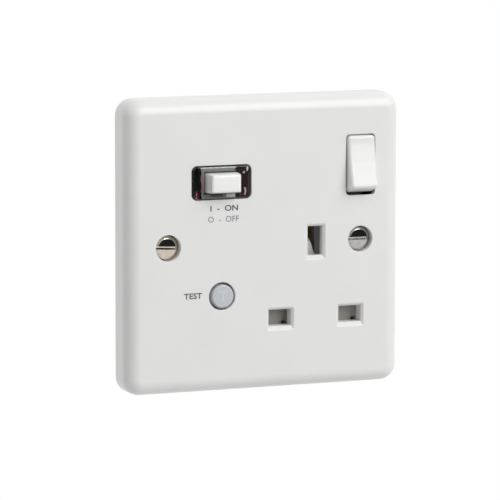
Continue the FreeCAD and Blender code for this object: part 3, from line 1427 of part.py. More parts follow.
def trip_latch():
    """A bell crank with a hook beside the carrier and a tab over the solenoid."""
    deep = ("latch_front", "latch_front + latch_thick")
    thick = (LATCH_LOW, f"{LATCH_LOW} + latch_thick")
    hub = "(latch_pin_radius + latch_boss_wall)"
    edge = "(window_x - carrier_wide / 2 - slide_gap)"
    arm = block("latch_arm", (f"{edge} - latch_hook", edge), deep, ("window_z - carrier_tall / 2", LATCH_Z))
    beam = block("latch_beam", ("solenoid_x - bobbin_tube", "latch_x"), deep, thick)
    tab_deep = ("latch_front", "solenoid_y + bobbin_bore")
    tab = block("latch_tab", span("solenoid_x", "2 * bobbin_bore"), tab_deep, thick)
    boss = rod("latch_hub", "y", "latch_x", "latch_front", LATCH_Z, hub, "latch_thick")
    whole = fuse("latch_whole", arm, beam, tab, boss)
    hole_radius = "latch_pin_radius + pin_gap"
    hole = rod("latch_hole", "y", "latch_x", "latch_front - 1", LATCH_Z, hole_radius, "latch_thick + 2")
    return cut("trip_latch", whole, hole)


def latch_pin():
    long = "latch_front + latch_thick + latch_pin_over - latch_pin_start"
    pin = rod("latch_pin", "y", "latch_x", "latch_pin_start", LATCH_Z, "latch_pin_radius", long)
    pin.Label = "latch_pin"
    return pin


def all_parts():
    return [
        front_plate(),
        fixing_screws(),
        assembly_screws(),
        window_lens(),
        reset_button(),
        reset_spring(),
        indicator_flag(),
        test_button(),
        test_spring(),
        test_strip(),
        test_pin(),
        rocker(),
        rocker_plunger(),
        plunger_spring(),
        switch_bridge(),
        live_feed_strap(),
        shutter(),
        shutter_spring(),
        inner_frame(),
        rear_housing(),
        line_contact("live_contact", LIVE_X),
        line_contact("neutral_contact", NEUTRAL_X),
        earth_contact(),
        terminal("live_terminal", LIVE_TERMINAL_X),
        terminal("neutral_terminal", NEUTRAL_TERMINAL_X),
        terminal("earth_terminal", "socket_x"),
        terminal_screws(),
        earth_strap(),
        live_link(),
        neutral_link(),
        live_supply_contact(),
        neutral_supply_contact(),
        contact_carrier(),
        moving_contact("live_moving_contact", POLE_LIVE),
        moving_contact("neutral_moving_contact", POLE_NEUTRAL),
        carrier_spring(),
        toroid_core(),
        toroid_winding(),
        circuit_board(),
        varistor(),
        board_block("capacitor", CAPACITOR_Z),
        board_block("chip", "chip_z"),
        board_rods("resistors", RESISTOR_PLACES, "resistor_radius", "resistor_long"),
        board_rods("diodes", DIODE_PLACES, "diode_radius", "diode_long"),
        solenoid_bobbin(),
        solenoid_coil(),
        solenoid_plunger(),
        trip_latch(),
        latch_pin(),
    ]


def check(parts):
    """Stop if any object failed or any sub-part isn't a sound solid."""
    for item in doc.Objects:
        if "Invalid" in item.State or "Error" in item.State:
            raise RuntimeError(f"{item.Name} failed: {item.State}")
    for part in parts:
        if part.Shape.isNull() or not part.Shape.isValid() or part.Shape.Volume <= 0:
            raise RuntimeError(f"{part.Label} has no sound shape")


parts = all_parts()
doc.recompute()
check(parts)
os.makedirs("parts", exist_ok=True)
for part in parts:
    part.Shape.exportStep(f"parts/{part.Label}.step")
print(f"{len(parts)} sub-parts")
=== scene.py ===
"""Looks for a switched wall socket outlet with a residual current device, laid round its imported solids.

Everything is in metres in the socket's own frame: X to the right, Y into the wall, Z up, and the origin in
the middle of the plate's back rim.
"""

import json
import math

import bmesh
import bpy
from mathutils import Matrix, Vector


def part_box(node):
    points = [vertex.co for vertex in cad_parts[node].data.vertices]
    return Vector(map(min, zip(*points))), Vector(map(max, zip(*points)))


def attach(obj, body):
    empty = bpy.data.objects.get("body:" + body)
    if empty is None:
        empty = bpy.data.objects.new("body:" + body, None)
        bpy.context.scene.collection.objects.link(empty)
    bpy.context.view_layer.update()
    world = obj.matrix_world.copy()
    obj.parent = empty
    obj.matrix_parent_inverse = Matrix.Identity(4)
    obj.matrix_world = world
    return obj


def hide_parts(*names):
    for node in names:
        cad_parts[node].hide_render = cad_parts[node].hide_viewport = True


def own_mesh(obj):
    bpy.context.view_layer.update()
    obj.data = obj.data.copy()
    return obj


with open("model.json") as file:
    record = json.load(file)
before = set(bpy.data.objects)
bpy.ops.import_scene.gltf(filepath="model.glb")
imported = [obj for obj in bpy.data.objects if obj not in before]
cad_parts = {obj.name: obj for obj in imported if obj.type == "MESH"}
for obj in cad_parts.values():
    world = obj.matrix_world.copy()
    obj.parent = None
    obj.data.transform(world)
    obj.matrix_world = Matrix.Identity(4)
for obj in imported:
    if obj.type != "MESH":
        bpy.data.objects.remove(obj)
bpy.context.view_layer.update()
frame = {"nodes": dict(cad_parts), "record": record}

MM = 0.001
UM = 0.000001
SOLIDS = frame["nodes"]
SLOTS = {part["node"]: part["material_slot"] for part in frame["record"]["subparts"]}
BODIES = {node: body for body, nodes in frame["record"]["behaviour"]["bodies"].items() for node in nodes}
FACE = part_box("front_plate")[0].y
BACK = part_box("rear_housing")[1].y


# Node trees
class Signal:
    """One output of a node. Arithmetic on a signal of numbers adds Math nodes."""

    def __init__(self, tree, socket):
        self.tree = tree
        self.socket = socket

    def math(self, operation, *others):
        """A Math node on this signal and then the others."""
        return self.tree.maths(operation, self, *others)

    def __add__(self, other):
        return self.math("ADD", other)

    def __radd__(self, other):
        return self.math("ADD", other)

    def __sub__(self, other):
        return self.math("SUBTRACT", other)

    def __rsub__(self, other):
        return self.tree.maths("SUBTRACT", other, self)

    def __mul__(self, other):
        return self.math("MULTIPLY", other)

    def __rmul__(self, other):
        return self.math("MULTIPLY", other)

    def __truediv__(self, other):
        return self.math("DIVIDE", other)

    def __rtruediv__(self, other):
        return self.tree.maths("DIVIDE", other, self)

    def __mod__(self, other):
        return self.math("FLOORED_MODULO", other)

    def __lt__(self, other):
        return self.math("LESS_THAN", other)

    def __gt__(self, other):
        return self.math("GREATER_THAN", other)

    def __abs__(self):
        return self.math("ABSOLUTE")

    def clamped(self, low, high):
        """The signal held between two limits."""
        return self.math("MAXIMUM", low).math("MINIMUM", high)

    def part(self, axis):
        """One coordinate of a signal of places: X, Y or Z."""
        return self.tree.node("ShaderNodeSeparateXYZ", {}, {0: self}, axis)


class Tree:
    """A node tree with one method that adds any node to it."""

    def __init__(self, tree):
        self.tree = tree
        self.nodes = tree.nodes

    def node(self, kind, settings=None, inputs=None, output=0):
        """Add a node. Settings and a ramp's stops come first, then the values or links of its sockets."""
        made = self.nodes.new(kind)
        for name, value in (settings or {}).items():
            if name == "stops":
                fill_ramp(made.color_ramp, value)
            else:
                setattr(made, name, value)
        for name, value in (inputs or {}).items():
            self.feed(made.inputs[name], value)
        return Signal(self, made.outputs[output])

    def maths(self, operation, *values):
        """A Math node on numbers and signals."""
        return self.node("ShaderNodeMath", {"operation": operation}, dict(enumerate(values)))

    def mixed(self, share, first, second):
        """A colour between two colours."""
        return self.node("ShaderNodeMix", {"data_type": "RGBA"}, {0: share, 6: first, 7: second}, 2)

    def feed(self, socket, value):
        """Link a signal to a socket, or set the socket's own value."""
        if isinstance(value, Signal):
            self.tree.links.new(value.socket, socket)
        else:
            socket.default_value = value


def fill_ramp(ramp, stops):
    """Set a colour ramp's stops from pairs of place and colour."""
    while len(ramp.elements) < len(stops):
        ramp.elements.new(1.0)
    for element, (place, colour) in zip(ramp.elements, stops):
        element.position = place
        element.color = colour


def tone(red, green, blue):
    """A colour given as it shows on a screen, 0 to 255, as the light that it stands for."""
    shares = [value / 255 for value in (red, green, blue)]
    light = [s / 12.92 if s <= 0.04045 else ((s + 0.055) / 1.055) ** 2.4 for s in shares]
    return (*light, 1.0)


def scaled(colour, factor):
    """A colour made lighter or darker."""
    return (*[min(1.0, value * factor) for value in colour[:3]], 1.0)


class Finish(Tree):
    """A material: a principled shader, with patterns that read the piece's own coordinates."""

    def __init__(self, name, values):
        self.material = bpy.data.materials.new(name)
        self.material.use_nodes = True
        super().__init__(self.material.node_tree)
        self.shader = self.nodes["Principled BSDF"]
        for socket, value in values.items():
            self.shader.inputs[socket].default_value = value
        self.place = self.node("ShaderNodeTexCoord", {}, {}, "Object")

    def noise(self, size, detail=2.0, rough=0.5, stretch=(1.0, 1.0, 1.0)):
        """Cloudy noise around 0.5 whose blots are about that size, longer along a stretched axis."""
        scale = tuple(1.0 / (size * share) for share in stretch)
        place = self.node("ShaderNodeMapping", {}, {"Vector": self.place, "Scale": scale})
        inputs = {"Vector": place, "Scale": 1.0, "Detail": detail, "Roughness": rough}
        return self.node("ShaderNodeTexNoise", {}, inputs)

    def waver(self, size, reach):
        """A shift to either side, for an edge that isn't straight."""
        return (self.noise(size) - 0.5) * reach

    def colour(self, value):
        self.paint = value
        self.feed(self.shader.inputs["Base Color"], value)

    def roughness(self, value):
        self.feed(self.shader.inputs["Roughness"], value)

    def let_in(self, weight, depth):
        """Let light into the surface, to scatter evenly within a depth."""
        self.shader.inputs["Subsurface Weight"].default_value = weight
        self.shader.inputs["Subsurface Radius"].default_value = (1.0, 1.0, 1.0)
        self.shader.inputs["Subsurface Scale"].default_value = depth

    def relief(self, *layers):
        """Raise the surface by layers of height signal and depth in metres."""
        normal = None
        for height, depth in layers:
            inputs = {"Height": height, "Distance": depth, "Strength": 1.0}
            if normal is not None:
                inputs["Normal"] = normal
            normal = self.node("ShaderNodeBump", {}, inputs)
        self.feed(self.shader.inputs["Normal"], normal)


# Plastics
def plastic(name, colour, gloss, grain=1.0):
    """Moulded plastic: flow clouds in the colour, uneven gloss, a rippled skin and a few specks."""
    finish = Finish(name, {"IOR": 1.5})
    flow = finish.noise(13 * MM, detail=3.0)
    cloud = finish.noise(2.2 * MM)
    speck = finish.noise(0.35 * MM, detail=1.0) > 0.73
    base = finish.mixed(flow, scaled(colour, 0.975), scaled(colour, 1.02))
    finish.colour(finish.mixed(speck * 0.25, base, scaled(colour, 0.8)))
    finish.roughness(gloss - 0.06 + flow * 0.07 + cloud * 0.05)
    ripple = finish.noise(5.5 * MM, detail=1.0)
    skin = finish.noise(0.28 * MM, detail=3.0)
    finish.relief((ripple, 9 * UM * grain), (skin, 1.6 * UM * grain))
    return finish


def moulded(name, colour, gloss, grain=1.0):
    return plastic(name, colour, gloss, grain).material


def white_plastic():
    """The plate's and the rocker's urea: bright, with a little light let into its edges."""
    finish = plastic("white_plastic", tone(234, 234, 233), 0.30)
    finish.let_in(0.4, 1.2 * MM)
    return finish.material


def off_white_button():
    """Translucent white, so that its shaded sides stay soft."""
    finish = plastic("off_white_button", tone(243, 243, 239), 0.34, grain=0.8)
    finish.let_in(0.6, 1.6 * MM)
    return finish.material


def grey_button():
    return moulded("grey_button", tone(196, 199, 203), 0.30, grain=0.8)


def housing_plastic():
    """The rear moulding: matt white, with a spark-eroded skin."""
    return moulded("housing_plastic", tone(226, 226, 222), 0.50, grain=3.0)


def grey_frame():
    return moulded("grey_frame", tone(176, 178, 178), 0.48, grain=2.5)


ARM_STARTS = -11.0 * MM


def grey_shutter():
    """Grey over the line apertures, and white on the sloped arm above them."""
    finish = plastic("grey_shutter", tone(166, 162, 156), 0.42, grain=2.0)
    white = finish.mixed(finish.noise(4 * MM), tone(236, 230, 230), tone(244, 240, 240))
    finish.colour(finish.mixed(finish.place.part("Z") > ARM_STARTS, finish.paint, white))
    return finish.material


def black_plastic():
    return moulded("black_plastic", tone(40, 40, 42), 0.42, grain=2.0)


FLAG_BORDER = 16.0 * MM
BORDER_WAVE = 0.15 * MM


def flag_plastic():
    """The flag's two paints, green over red, with a soft wavy border between them."""
    finish = Finish("flag_plastic", {"IOR": 1.5, "Coat Weight": 0.7, "Coat Roughness": 0.08})
    border = finish.noise(1.5 * MM) * BORDER_WAVE + FLAG_BORDER
    # Both paints are darkened as painted shade, and streaked upright with lighter painted highlights
    highlight_streak = finish.noise(0.7 * MM, detail=1.0, stretch=(1.0, 1.0, 8.0))
    red = finish.mixed(highlight_streak, tone(96, 14, 36), tone(224, 92, 128))
    green = finish.mixed(highlight_streak, tone(26, 42, 34), tone(84, 106, 92))
    finish.colour(finish.mixed(finish.place.part("Z") > border, red, green))
    finish.roughness(0.3 + finish.noise(0.6 * MM) * 0.14)
    finish.relief((finish.noise(0.3 * MM, detail=3.0), 3 * UM))
    return finish.material


# Painted reflections, glints and shade, laid on the lens as bands of colour
# The bands that the window's thick edges show: left, right, low and high in millimetres, and the colour
WINDOW_PAINTED_LIGHT = (
    (-20.1, -17.4, 13.6, 22.3, tone(158, 138, 146)),
    (-18.6, -18.1, 14.8, 21.9, tone(88, 52, 62)),
    (-20.1, -9.6, 21.4, 22.9, tone(150, 157, 150)),
    (-19.9, -9.5, 13.8, 15.6, tone(138, 144, 138)),
    (-17.4, -13.4, 14.4, 15.7, tone(92, 92, 92)),
    (-12.4, -9.6, 14.2, 15.6, tone(222, 224, 220)),
    (-21.8, -21.3, 13.9, 15.9, tone(214, 110, 140)),
    (-9.3, -4.4, 13.4, 23.4, tone(48, 34, 37)),
    (-8.2, -7.7, 14.4, 20.4, tone(104, 62, 66)),
    (-6.7, -6.2, 14.6, 16.8, tone(226, 196, 200)),
    (-6.1, -5.6, 21.6, 22.9, tone(226, 222, 220)),
    (-7.2, -6.6, 21.0, 21.5, tone(206, 190, 190)),
    (-5.6, -5.3, 15.0, 21.0, tone(84, 76, 76)),
    (-20.4, -9.4, 22.75, 23.25, tone(250, 250, 248)),
)
BAND_BLUR = 0.25 * MM
BAND_COVER = 0.92
WAVER_ACROSS = 0.9 * MM
WAVER_UP = 0.25 * MM
LENS_IOR = 1.58


def clear_window():
    """Clear polycarbonate, with broken reflections, glints and shade painted in soft bands on its thick
    parts.
    """
    values = {"Transmission Weight": 1.0, "IOR": LENS_IOR, "Base Color": tone(246, 248, 247)}
    finish = Finish("clear_window", values)
    swirl = finish.noise(3.5 * MM)
    finish.roughness(0.01 + swirl * 0.02)
    finish.relief((swirl, 6 * UM), (finish.noise(0.5 * MM), 0.6 * UM))
    across = finish.place.part("X") + finish.waver(1.1 * MM, WAVER_ACROSS)
    up = finish.place.part("Z") + finish.waver(0.9 * MM, WAVER_UP)
    shade = None
    cover = None
    for left, right, low, high, colour in WINDOW_PAINTED_LIGHT:
        share = 1.0
        for depth in (across - left * MM, right * MM - across, up - low * MM, high * MM - up):
            share = (depth / BAND_BLUR + 0.5).clamped(0.0, 1.0) * share
        cover = share if cover is None else cover.math("MAXIMUM", share)
        shade = finish.mixed(share, colour if shade is None else shade, colour)
    streak = finish.noise(0.5 * MM, stretch=(0.6, 1.0, 5.0))
    streaked = finish.mixed(streak, finish.mixed(0.55, shade, tone(0, 0, 0)), shade)
    values = {"Base Color": streaked, "IOR": LENS_IOR, "Roughness": 0.12, "Coat Weight": 0.6}
    bands = finish.node("ShaderNodeBsdfPrincipled", {}, values)
    clear = Signal(finish, finish.shader.outputs[0])
    both = finish.node("ShaderNodeMixShader", {}, {0: cover * BAND_COVER, 1: clear, 2: bands})
    finish.feed(finish.nodes["Material Output"].inputs["Surface"], both)
    return finish.material


def dark_rim():
    """Painted shade on the lens's edge, which shows dark where no light comes back out."""
    finish = Finish("dark_rim", {"IOR": LENS_IOR})
    cloud = finish.noise(1.4 * MM)
    finish.colour(finish.mixed(cloud, tone(26, 24, 24), tone(52, 48, 48)))
    finish.roughness(0.16 + cloud * 0.16)
    finish.relief((cloud, 5 * UM))
    return finish.material


# Metals
def metal(name, colour, rough, stretch=(1.0, 1.0, 1.0)):
    """Bare or plated metal: fine lines along its working direction, and stains in its gloss and colour."""
    finish = Finish(name, {"Metallic": 1.0})
    lines = finish.noise(0.12 * MM, detail=3.0, rough=0.6, stretch=stretch)
    cloud = finish.noise(3.0 * MM, detail=4.0, rough=0.6)
    finish.colour(finish.mixed(cloud, scaled(colour, 0.85), colour))
    finish.roughness(rough - 0.08 + lines * 0.1 + cloud * 0.1)
    finish.relief((lines, 1.2 * UM), (cloud, 6 * UM))
    return finish.material


def plated_steel():
    """Bright nickel on the fixing screws, warm on the left one and cooler on the right one."""
    finish = Finish("plated_steel", {"Metallic": 1.0})
    lines = finish.noise(0.16 * MM, detail=3.0, rough=0.6, stretch=(4.0, 1.0, 1.0))
    cloud = finish.noise(1.1 * MM, detail=4.0, rough=0.6)
    warm = finish.mixed(cloud, tone(214, 198, 178), tone(250, 242, 232))
    cool = finish.mixed(cloud, tone(176, 174, 172), tone(236, 235, 233))
    finish.colour(finish.mixed(finish.place.part("X") > 0.0, warm, cool))
    finish.roughness(0.01 + lines * 0.03 + cloud * 0.04)
    finish.relief((lines, 0.3 * UM), (cloud, 3 * UM))
    return finish.material


def zinc_steel():
    return metal("zinc_steel", tone(196, 200, 204), 0.28)


def spring_steel():
    return metal("spring_steel", tone(168, 168, 170), 0.24)


def brass():
    return metal("brass", tone(214, 178, 104), 0.26, stretch=(1.0, 1.0, 14.0))


def copper_strip():
    return metal("copper_strip", tone(206, 140, 104), 0.26, stretch=(1.0, 1.0, 14.0))


def armature_steel():
    return metal("armature_steel", tone(176, 176, 178), 0.22, stretch=(1.0, 1.0, 0.4))


def copper_wire():
    """Enamelled copper: a clear amber coat over the metal."""
    finish = Finish("copper_wire", {"Metallic": 0.85, "Coat Weight": 0.8, "Coat Roughness": 0.12})
    cloud = finish.noise(1.6 * MM, detail=3.0)
    finish.colour(finish.mixed(cloud, tone(150, 70, 34), tone(190, 98, 52)))
    finish.roughness(0.22 + cloud * 0.12)
    finish.relief((finish.noise(0.2 * MM), 0.8 * UM))
    return finish.material


# The circuit board, what stands on it and the sensing coil's core
WEAVE_PITCH = 0.9 * MM


def board_laminate():
    """Green resist over glass cloth, whose weave shows as a fine grid."""
    finish = Finish("board_laminate", {"IOR": 1.52, "Coat Weight": 0.4})
    across = abs((finish.place.part("X") / WEAVE_PITCH) % 1.0 - 0.5)
    along = abs((finish.place.part("Z") / WEAVE_PITCH) % 1.0 - 0.5)
    weave = across + along
    finish.colour(finish.mixed(weave, tone(20, 88, 46), tone(34, 112, 60)))
    finish.roughness(0.3 + finish.noise(1.5 * MM) * 0.12)
    finish.relief((weave, 8 * UM))
    return finish.material


def varistor_blue():
    return moulded("varistor_blue", tone(38, 82, 158), 0.34, grain=4.0)


def capacitor_yellow():
    return moulded("capacitor_yellow", tone(216, 176, 62), 0.36)


def core_grey():
    return moulded("core_grey", tone(84, 86, 90), 0.5, grain=4.0)


# Colour bands: each one's middle as a share of the resistors' height, and its colour
RESISTOR_BANDS = (
    (0.2, tone(120, 60, 20)),
    (0.38, tone(20, 20, 20)),
    (0.56, tone(190, 40, 30)),
    (0.8, tone(200, 160, 70)),
)
RESISTOR_BAND_HALF = 0.045


def resistor_body():
    """Beige lacquer with four colour bands along each body."""
    finish = Finish("resistor_body", {"IOR": 1.5, "Coat Weight": 0.5})
    low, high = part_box("resistors")
    share = (finish.place.part("Z") - low.z) / (high.z - low.z)
    paint = finish.mixed(finish.noise(1.0 * MM), tone(196, 172, 132), tone(210, 188, 150))
    for middle, colour in RESISTOR_BANDS:
        paint = finish.mixed(abs(share - middle) < RESISTOR_BAND_HALF, paint, colour)
    finish.colour(paint)
    finish.roughness(0.28 + finish.noise(0.8 * MM) * 0.1)
    finish.relief((finish.noise(0.5 * MM), 3 * UM))
    return finish.material


def printed_ink(name, colour):
    return moulded(name, colour, 0.55, grain=1.5)


# Each slot's finish is made by the function of the same name
FINISHES = {make.__name__: make() for make in (
    white_plastic, off_white_button, grey_button, housing_plastic, grey_frame, grey_shutter, black_plastic,
    flag_plastic, clear_window, plated_steel, zinc_steel, spring_steel, brass, copper_strip, armature_steel,
    copper_wire, board_laminate, varistor_blue, capacitor_yellow, core_grey, resistor_body,
)}
DARK_INK = printed_ink("dark_ink", tone(84, 84, 90))
PALE_INK = printed_ink("pale_ink", tone(126, 126, 130))
CAP_INK = printed_ink("cap_ink", tone(205, 208, 213))
LENS_EDGE_SHADE = dark_rim()
# Dark metal on the screws' slot walls: painted shade in the slots, with some dirt
SLOT_DIRT_AND_SHADE = metal("slot_stain", tone(70, 64, 58), 0.5)
for node, solid in SOLIDS.items():
    for slot in solid.material_slots:
        slot.material = FINISHES[SLOTS[node]]


# Meshes: how near two corners are one, the turns that count as flat and as sharp, and a rounding's steps
WELD = 0.1 * UM
FLAT = math.radians(0.4)
SHARP = math.radians(32)
ROUND_STEPS = 2


def linked(name, data):
    """An object in the scene, at the origin, from its mesh, text, lamp or camera."""
    made = bpy.data.objects.new(name, data)
    bpy.context.scene.collection.objects.link(made)
    return made


def merged(node):
    """A copy of the node's skin, with its loose triangles joined and its flat faces whole."""
    skin = bmesh.new()
    skin.from_mesh(SOLIDS[node].data)
    bmesh.ops.remove_doubles(skin, verts=skin.verts, dist=WELD)
    bmesh.ops.dissolve_limit(skin, angle_limit=FLAT, verts=skin.verts, edges=skin.edges)
    return skin


def object_from(skin, name):
    """An object that holds the skin."""
    mesh = bpy.data.meshes.new(name)
    skin.to_mesh(mesh)
    skin.free()
    return linked(name, mesh)


def plain_mesh(piece):
    """The mesh of a piece with its modifiers applied, or of a text."""
    return bpy.data.meshes.new_from_object(piece.evaluated_get(bpy.context.evaluated_depsgraph_get()))


def settled(piece):
    """Turn the piece's modifiers into a plain mesh."""
    ready = plain_mesh(piece)
    piece.modifiers.clear()
    piece.data = ready
    ready.name = piece.name
    return piece


def finished(piece, finish, body):
    """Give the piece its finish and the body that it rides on."""
    piece.data.materials.clear()
    piece.data.materials.append(finish)
    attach(piece, body)


def placed(piece, node):
    """Let the piece stand for the node, in the node's own finish."""
    finished(piece, FINISHES[SLOTS[node]], BODIES[node])
    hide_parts(node)
    return piece


def even_shading(piece):
    """Let each face's shading follow its own plane, up to its rounded or cut edges."""
    shading = piece.modifiers.new("shading", "WEIGHTED_NORMAL")
    shading.weight = 100
    shading.keep_sharp = True
    return settled(piece)


def rounded(piece, width):
    """Round the piece's sharp edges over."""
    piece.data.shade_smooth()
    rounding = piece.modifiers.new("rounding", "BEVEL")
    rounding.limit_method = "ANGLE"
    rounding.angle_limit = SHARP
    rounding.width = width
    rounding.segments = ROUND_STEPS
    rounding.use_clamp_overlap = False
    return even_shading(piece)


def softened(node, width):
    """The node with its sharp edges rounded over."""
    return placed(rounded(object_from(merged(node), f"{node}_dressed"), width), node)


def painted(piece, finish, wanted):
    """Give another finish to the faces that are wanted, by their middle and their normal."""
    piece.data.materials.append(finish)
    last = len(piece.data.materials) - 1
    for face in piece.data.polygons:
        if wanted(face.center, face.normal):
            face.material_index = last


def turn_about(axis, degrees):
    """A turn about X, Y or Z."""
    return Matrix.Rotation(math.radians(degrees), 4, axis)


UPRIGHT = Matrix.Identity(4)
INTO_WALL = turn_about("X", -90)
TOWARDS_ROOM = turn_about("X", 90)


def moved(piece, turn, place):
    """Turn the piece's mesh and then put it at a place."""
    piece.data.transform(Matrix.Translation(place) @ turn)
    return piece


def box_of(width, depth, height):
    """A block round the origin."""
    skin = bmesh.new()
    bmesh.ops.create_cube(skin, size=1.0)
    bmesh.ops.scale(skin, vec=(width, depth, height), verts=skin.verts)
    return object_from(skin, "block")


def turned(profile, name, steps=72):
    """A closed solid turned about Z, from points of radius and height that start and end on the axis."""
    skin = bmesh.new()
    rings = []
    for radius, height in profile:
        if radius == 0.0:
            rings.append([skin.verts.new((0.0, 0.0, height))])
            continue
        angles = [math.tau * number / steps for number in range(steps)]
        rings.append([skin.verts.new((radius * math.cos(a), radius * math.sin(a), height)) for a in angles])
    for upper, lower in zip(rings, rings[1:]):
        for number in range(steps):
            after = (number + 1) % steps
            corners = [upper[number % len(upper)], lower[number % len(lower)]]
            if len(lower) > 1:
                corners.append(lower[after])
            if len(upper) > 1:
                corners.append(upper[after])
            skin.faces.new(corners)
    bmesh.ops.recalc_face_normals(skin, faces=skin.faces)
    return object_from(skin, name)


def joined(pieces, name):
    """One object from several pieces' meshes."""
    skin = bmesh.new()
    for piece in pieces:
        skin.from_mesh(piece.data)
        bpy.data.objects.remove(piece)
    return object_from(skin, name)


def carved(piece, cutter):
    """The piece with the cutter's shape taken out of it."""
    carving = piece.modifiers.new("carving", "BOOLEAN")
    carving.operation = "DIFFERENCE"
    carving.solver = "EXACT"
    carving.object = cutter
    settled(piece)
    bpy.data.objects.remove(cutter)
    return piece


# Forms that repeat or follow a path
class Form(Tree):
    """A geometry tree with named sizes."""

    def __init__(self, name, *sizes):
        super().__init__(bpy.data.node_groups.new(name, "GeometryNodeTree"))
        sockets = self.tree.interface
        self.keys = {}
        for size in sizes:
            made = sockets.new_socket(size, in_out="INPUT", socket_type="NodeSocketFloat")
            self.keys[size] = made.identifier
        sockets.new_socket("Mesh", in_out="OUTPUT", socket_type="NodeSocketGeometry")
        self.given = self.nodes.new("NodeGroupInput")
        self.result = self.nodes.new("NodeGroupOutput")

    def sizes(self):
        return [Signal(self, self.given.outputs[name]) for name in self.keys]

    def around(self, radius, angle, height):
        """A place on a circle about Z."""
        across = radius * angle.math("COSINE")
        deep = radius * angle.math("SINE")
        return self.node("ShaderNodeCombineXYZ", {}, {0: across, 1: deep, 2: height})

    def close(self, shape, finish):
        """End the tree: smooth shading, real geometry and its finish."""
        smooth = self.node("GeometryNodeSetShadeSmooth", {}, {"Geometry": shape})
        whole = self.node("GeometryNodeRealizeInstances", {}, {"Geometry": smooth})
        ready = self.node("GeometryNodeSetMaterial", {}, {"Geometry": whole, "Material": finish})
        self.feed(self.result.inputs[0], ready)

    def grow(self, name, *values):
        """A plain mesh from the tree, for these sizes."""
        piece = linked(name, bpy.data.meshes.new(name))
        growth = piece.modifiers.new("form", "NODES")
        growth.node_group = self.tree
        for key, value in zip(self.keys.values(), values):
            growth[key] = float(value)
        return settled(piece)


# Coils: steps in a turn, sides of the wire, closed turns at each end, and their pitch in wire radii
WIRE_STEPS = 28
WIRE_SIDES = 12
CLOSED_TURNS = 1.0
CLOSED_PITCH = 2.1


def coil_form():
    """A coil of round wire up Z from the origin, with closed turns at both ends."""
    form = Form("coil", "Radius", "Wire", "Length", "Turns", "Closed")
    radius, wire, length, turns, closed = form.sizes()
    line = form.node("GeometryNodeCurvePrimitiveLine")
    points = form.node("GeometryNodeResampleCurve", {}, {"Curve": line, "Count": turns * WIRE_STEPS + 1.0})
    along = form.node("GeometryNodeSplineParameter")
    ends = closed / turns
    low = (along / ends).clamped(0.0, 1.0)
    high = ((along - 1.0) / ends + 1.0).clamped(0.0, 1.0)
    middle = ((along - ends) / (1.0 - 2.0 * ends)).clamped(0.0, 1.0)
    seated = wire * CLOSED_PITCH * closed
    free = length - wire * 2.0 - seated * 2.0
    height = wire + seated * (low + high) + free * middle
    place = form.around(radius, along * turns * math.tau, height)
    path = form.node("GeometryNodeSetPosition", {}, {"Geometry": points, "Position": place})
    section = form.node("GeometryNodeCurvePrimitiveCircle", {}, {"Resolution": WIRE_SIDES, "Radius": wire})
    wired = {"Curve": path, "Profile Curve": section, "Fill Caps": True}
    form.close(form.node("GeometryNodeCurveToMesh", {}, wired), FINISHES["spring_steel"])
    return form


# Threads: steps in a turn, rows in a pitch, and where and how fast a flank rises within the pitch
THREAD_STEPS = 48
THREAD_ROWS = 6
FLANK_START = 0.25
FLANK_SLOPE = 3.0


def thread_form():
    """A screw thread up Z: its rows climb as they go round, so that each crest is one helix."""
    form = Form("thread", "Root", "Crest", "Pitch", "Length", "Tip")
    root, crest, pitch, length, tip = form.sizes()
    count = (length / pitch + 2.0) * THREAD_ROWS
    sizes = {"Size X": 1.0, "Size Y": count - 1.0, "Vertices X": THREAD_STEPS + 1, "Vertices Y": count}
    sheet = form.node("GeometryNodeMeshGrid", {}, sizes)
    spot = form.node("GeometryNodeInputPosition")
    round_share = spot.part("X") + 0.5
    row = (spot.part("Y") + (count - 1.0) * 0.5) / THREAD_ROWS
    height = ((row + round_share - 1.0) * pitch).clamped(0.0, length)
    flank = (abs((row % 1.0) - 0.5) * FLANK_SLOPE - FLANK_START).clamped(0.0, 1.0)
    full = root + (crest - root) * flank
    start = root + height
    end = tip + (length - height)
    radius = full.math("MINIMUM", start).math("MINIMUM", end)
    place = form.around(radius, round_share * math.tau, height)
    wrapped = form.node("GeometryNodeSetPosition", {}, {"Geometry": sheet, "Position": place})
    form.close(wrapped, FINISHES["plated_steel"])
    return form


COIL = coil_form()
THREAD = thread_form()

# Moulded and cut pieces, with their sharp edges rounded over by this width in millimetres
SOFT_EDGES = {
    "front_plate": 0.16,
    "reset_button": 0.15,
    "test_button": 0.12,
    "shutter": 0.12,
    "rear_housing": 0.2,
    "inner_frame": 0.12,
    "contact_carrier": 0.12,
    "trip_latch": 0.1,
    "indicator_flag": 0.2,
    "capacitor": 0.3,
    "chip": 0.12,
    "live_terminal": 0.2,
    "neutral_terminal": 0.2,
    "earth_terminal": 0.2,
    "live_contact": 0.08,
    "neutral_contact": 0.08,
    "earth_contact": 0.08,
    "terminal_screws": 0.1,
    "assembly_screws": 0.1,
}
DRESSED = {node: softened(node, width * MM) for node, width in SOFT_EDGES.items()}

# Rocker: its two faces run together in one shallow curve, which fades out towards the skin's back
ROCKER_LOW, ROCKER_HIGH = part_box("rocker")
ROCKER_SLICES = 18
ROCKER_ENDS = (3, 16)
ROCKER_END_SLACK = 0.001
ROCKER_SKIN = -8.5 * MM
ROCKER_FADE = 1.3 * MM
ROCKER_ROUND = 0.2 * MM
NOSE_FRONT = -13.3 * MM
HEEL_FRONT = -10.6 * MM
ROCKER_DISH = 0.25 * MM


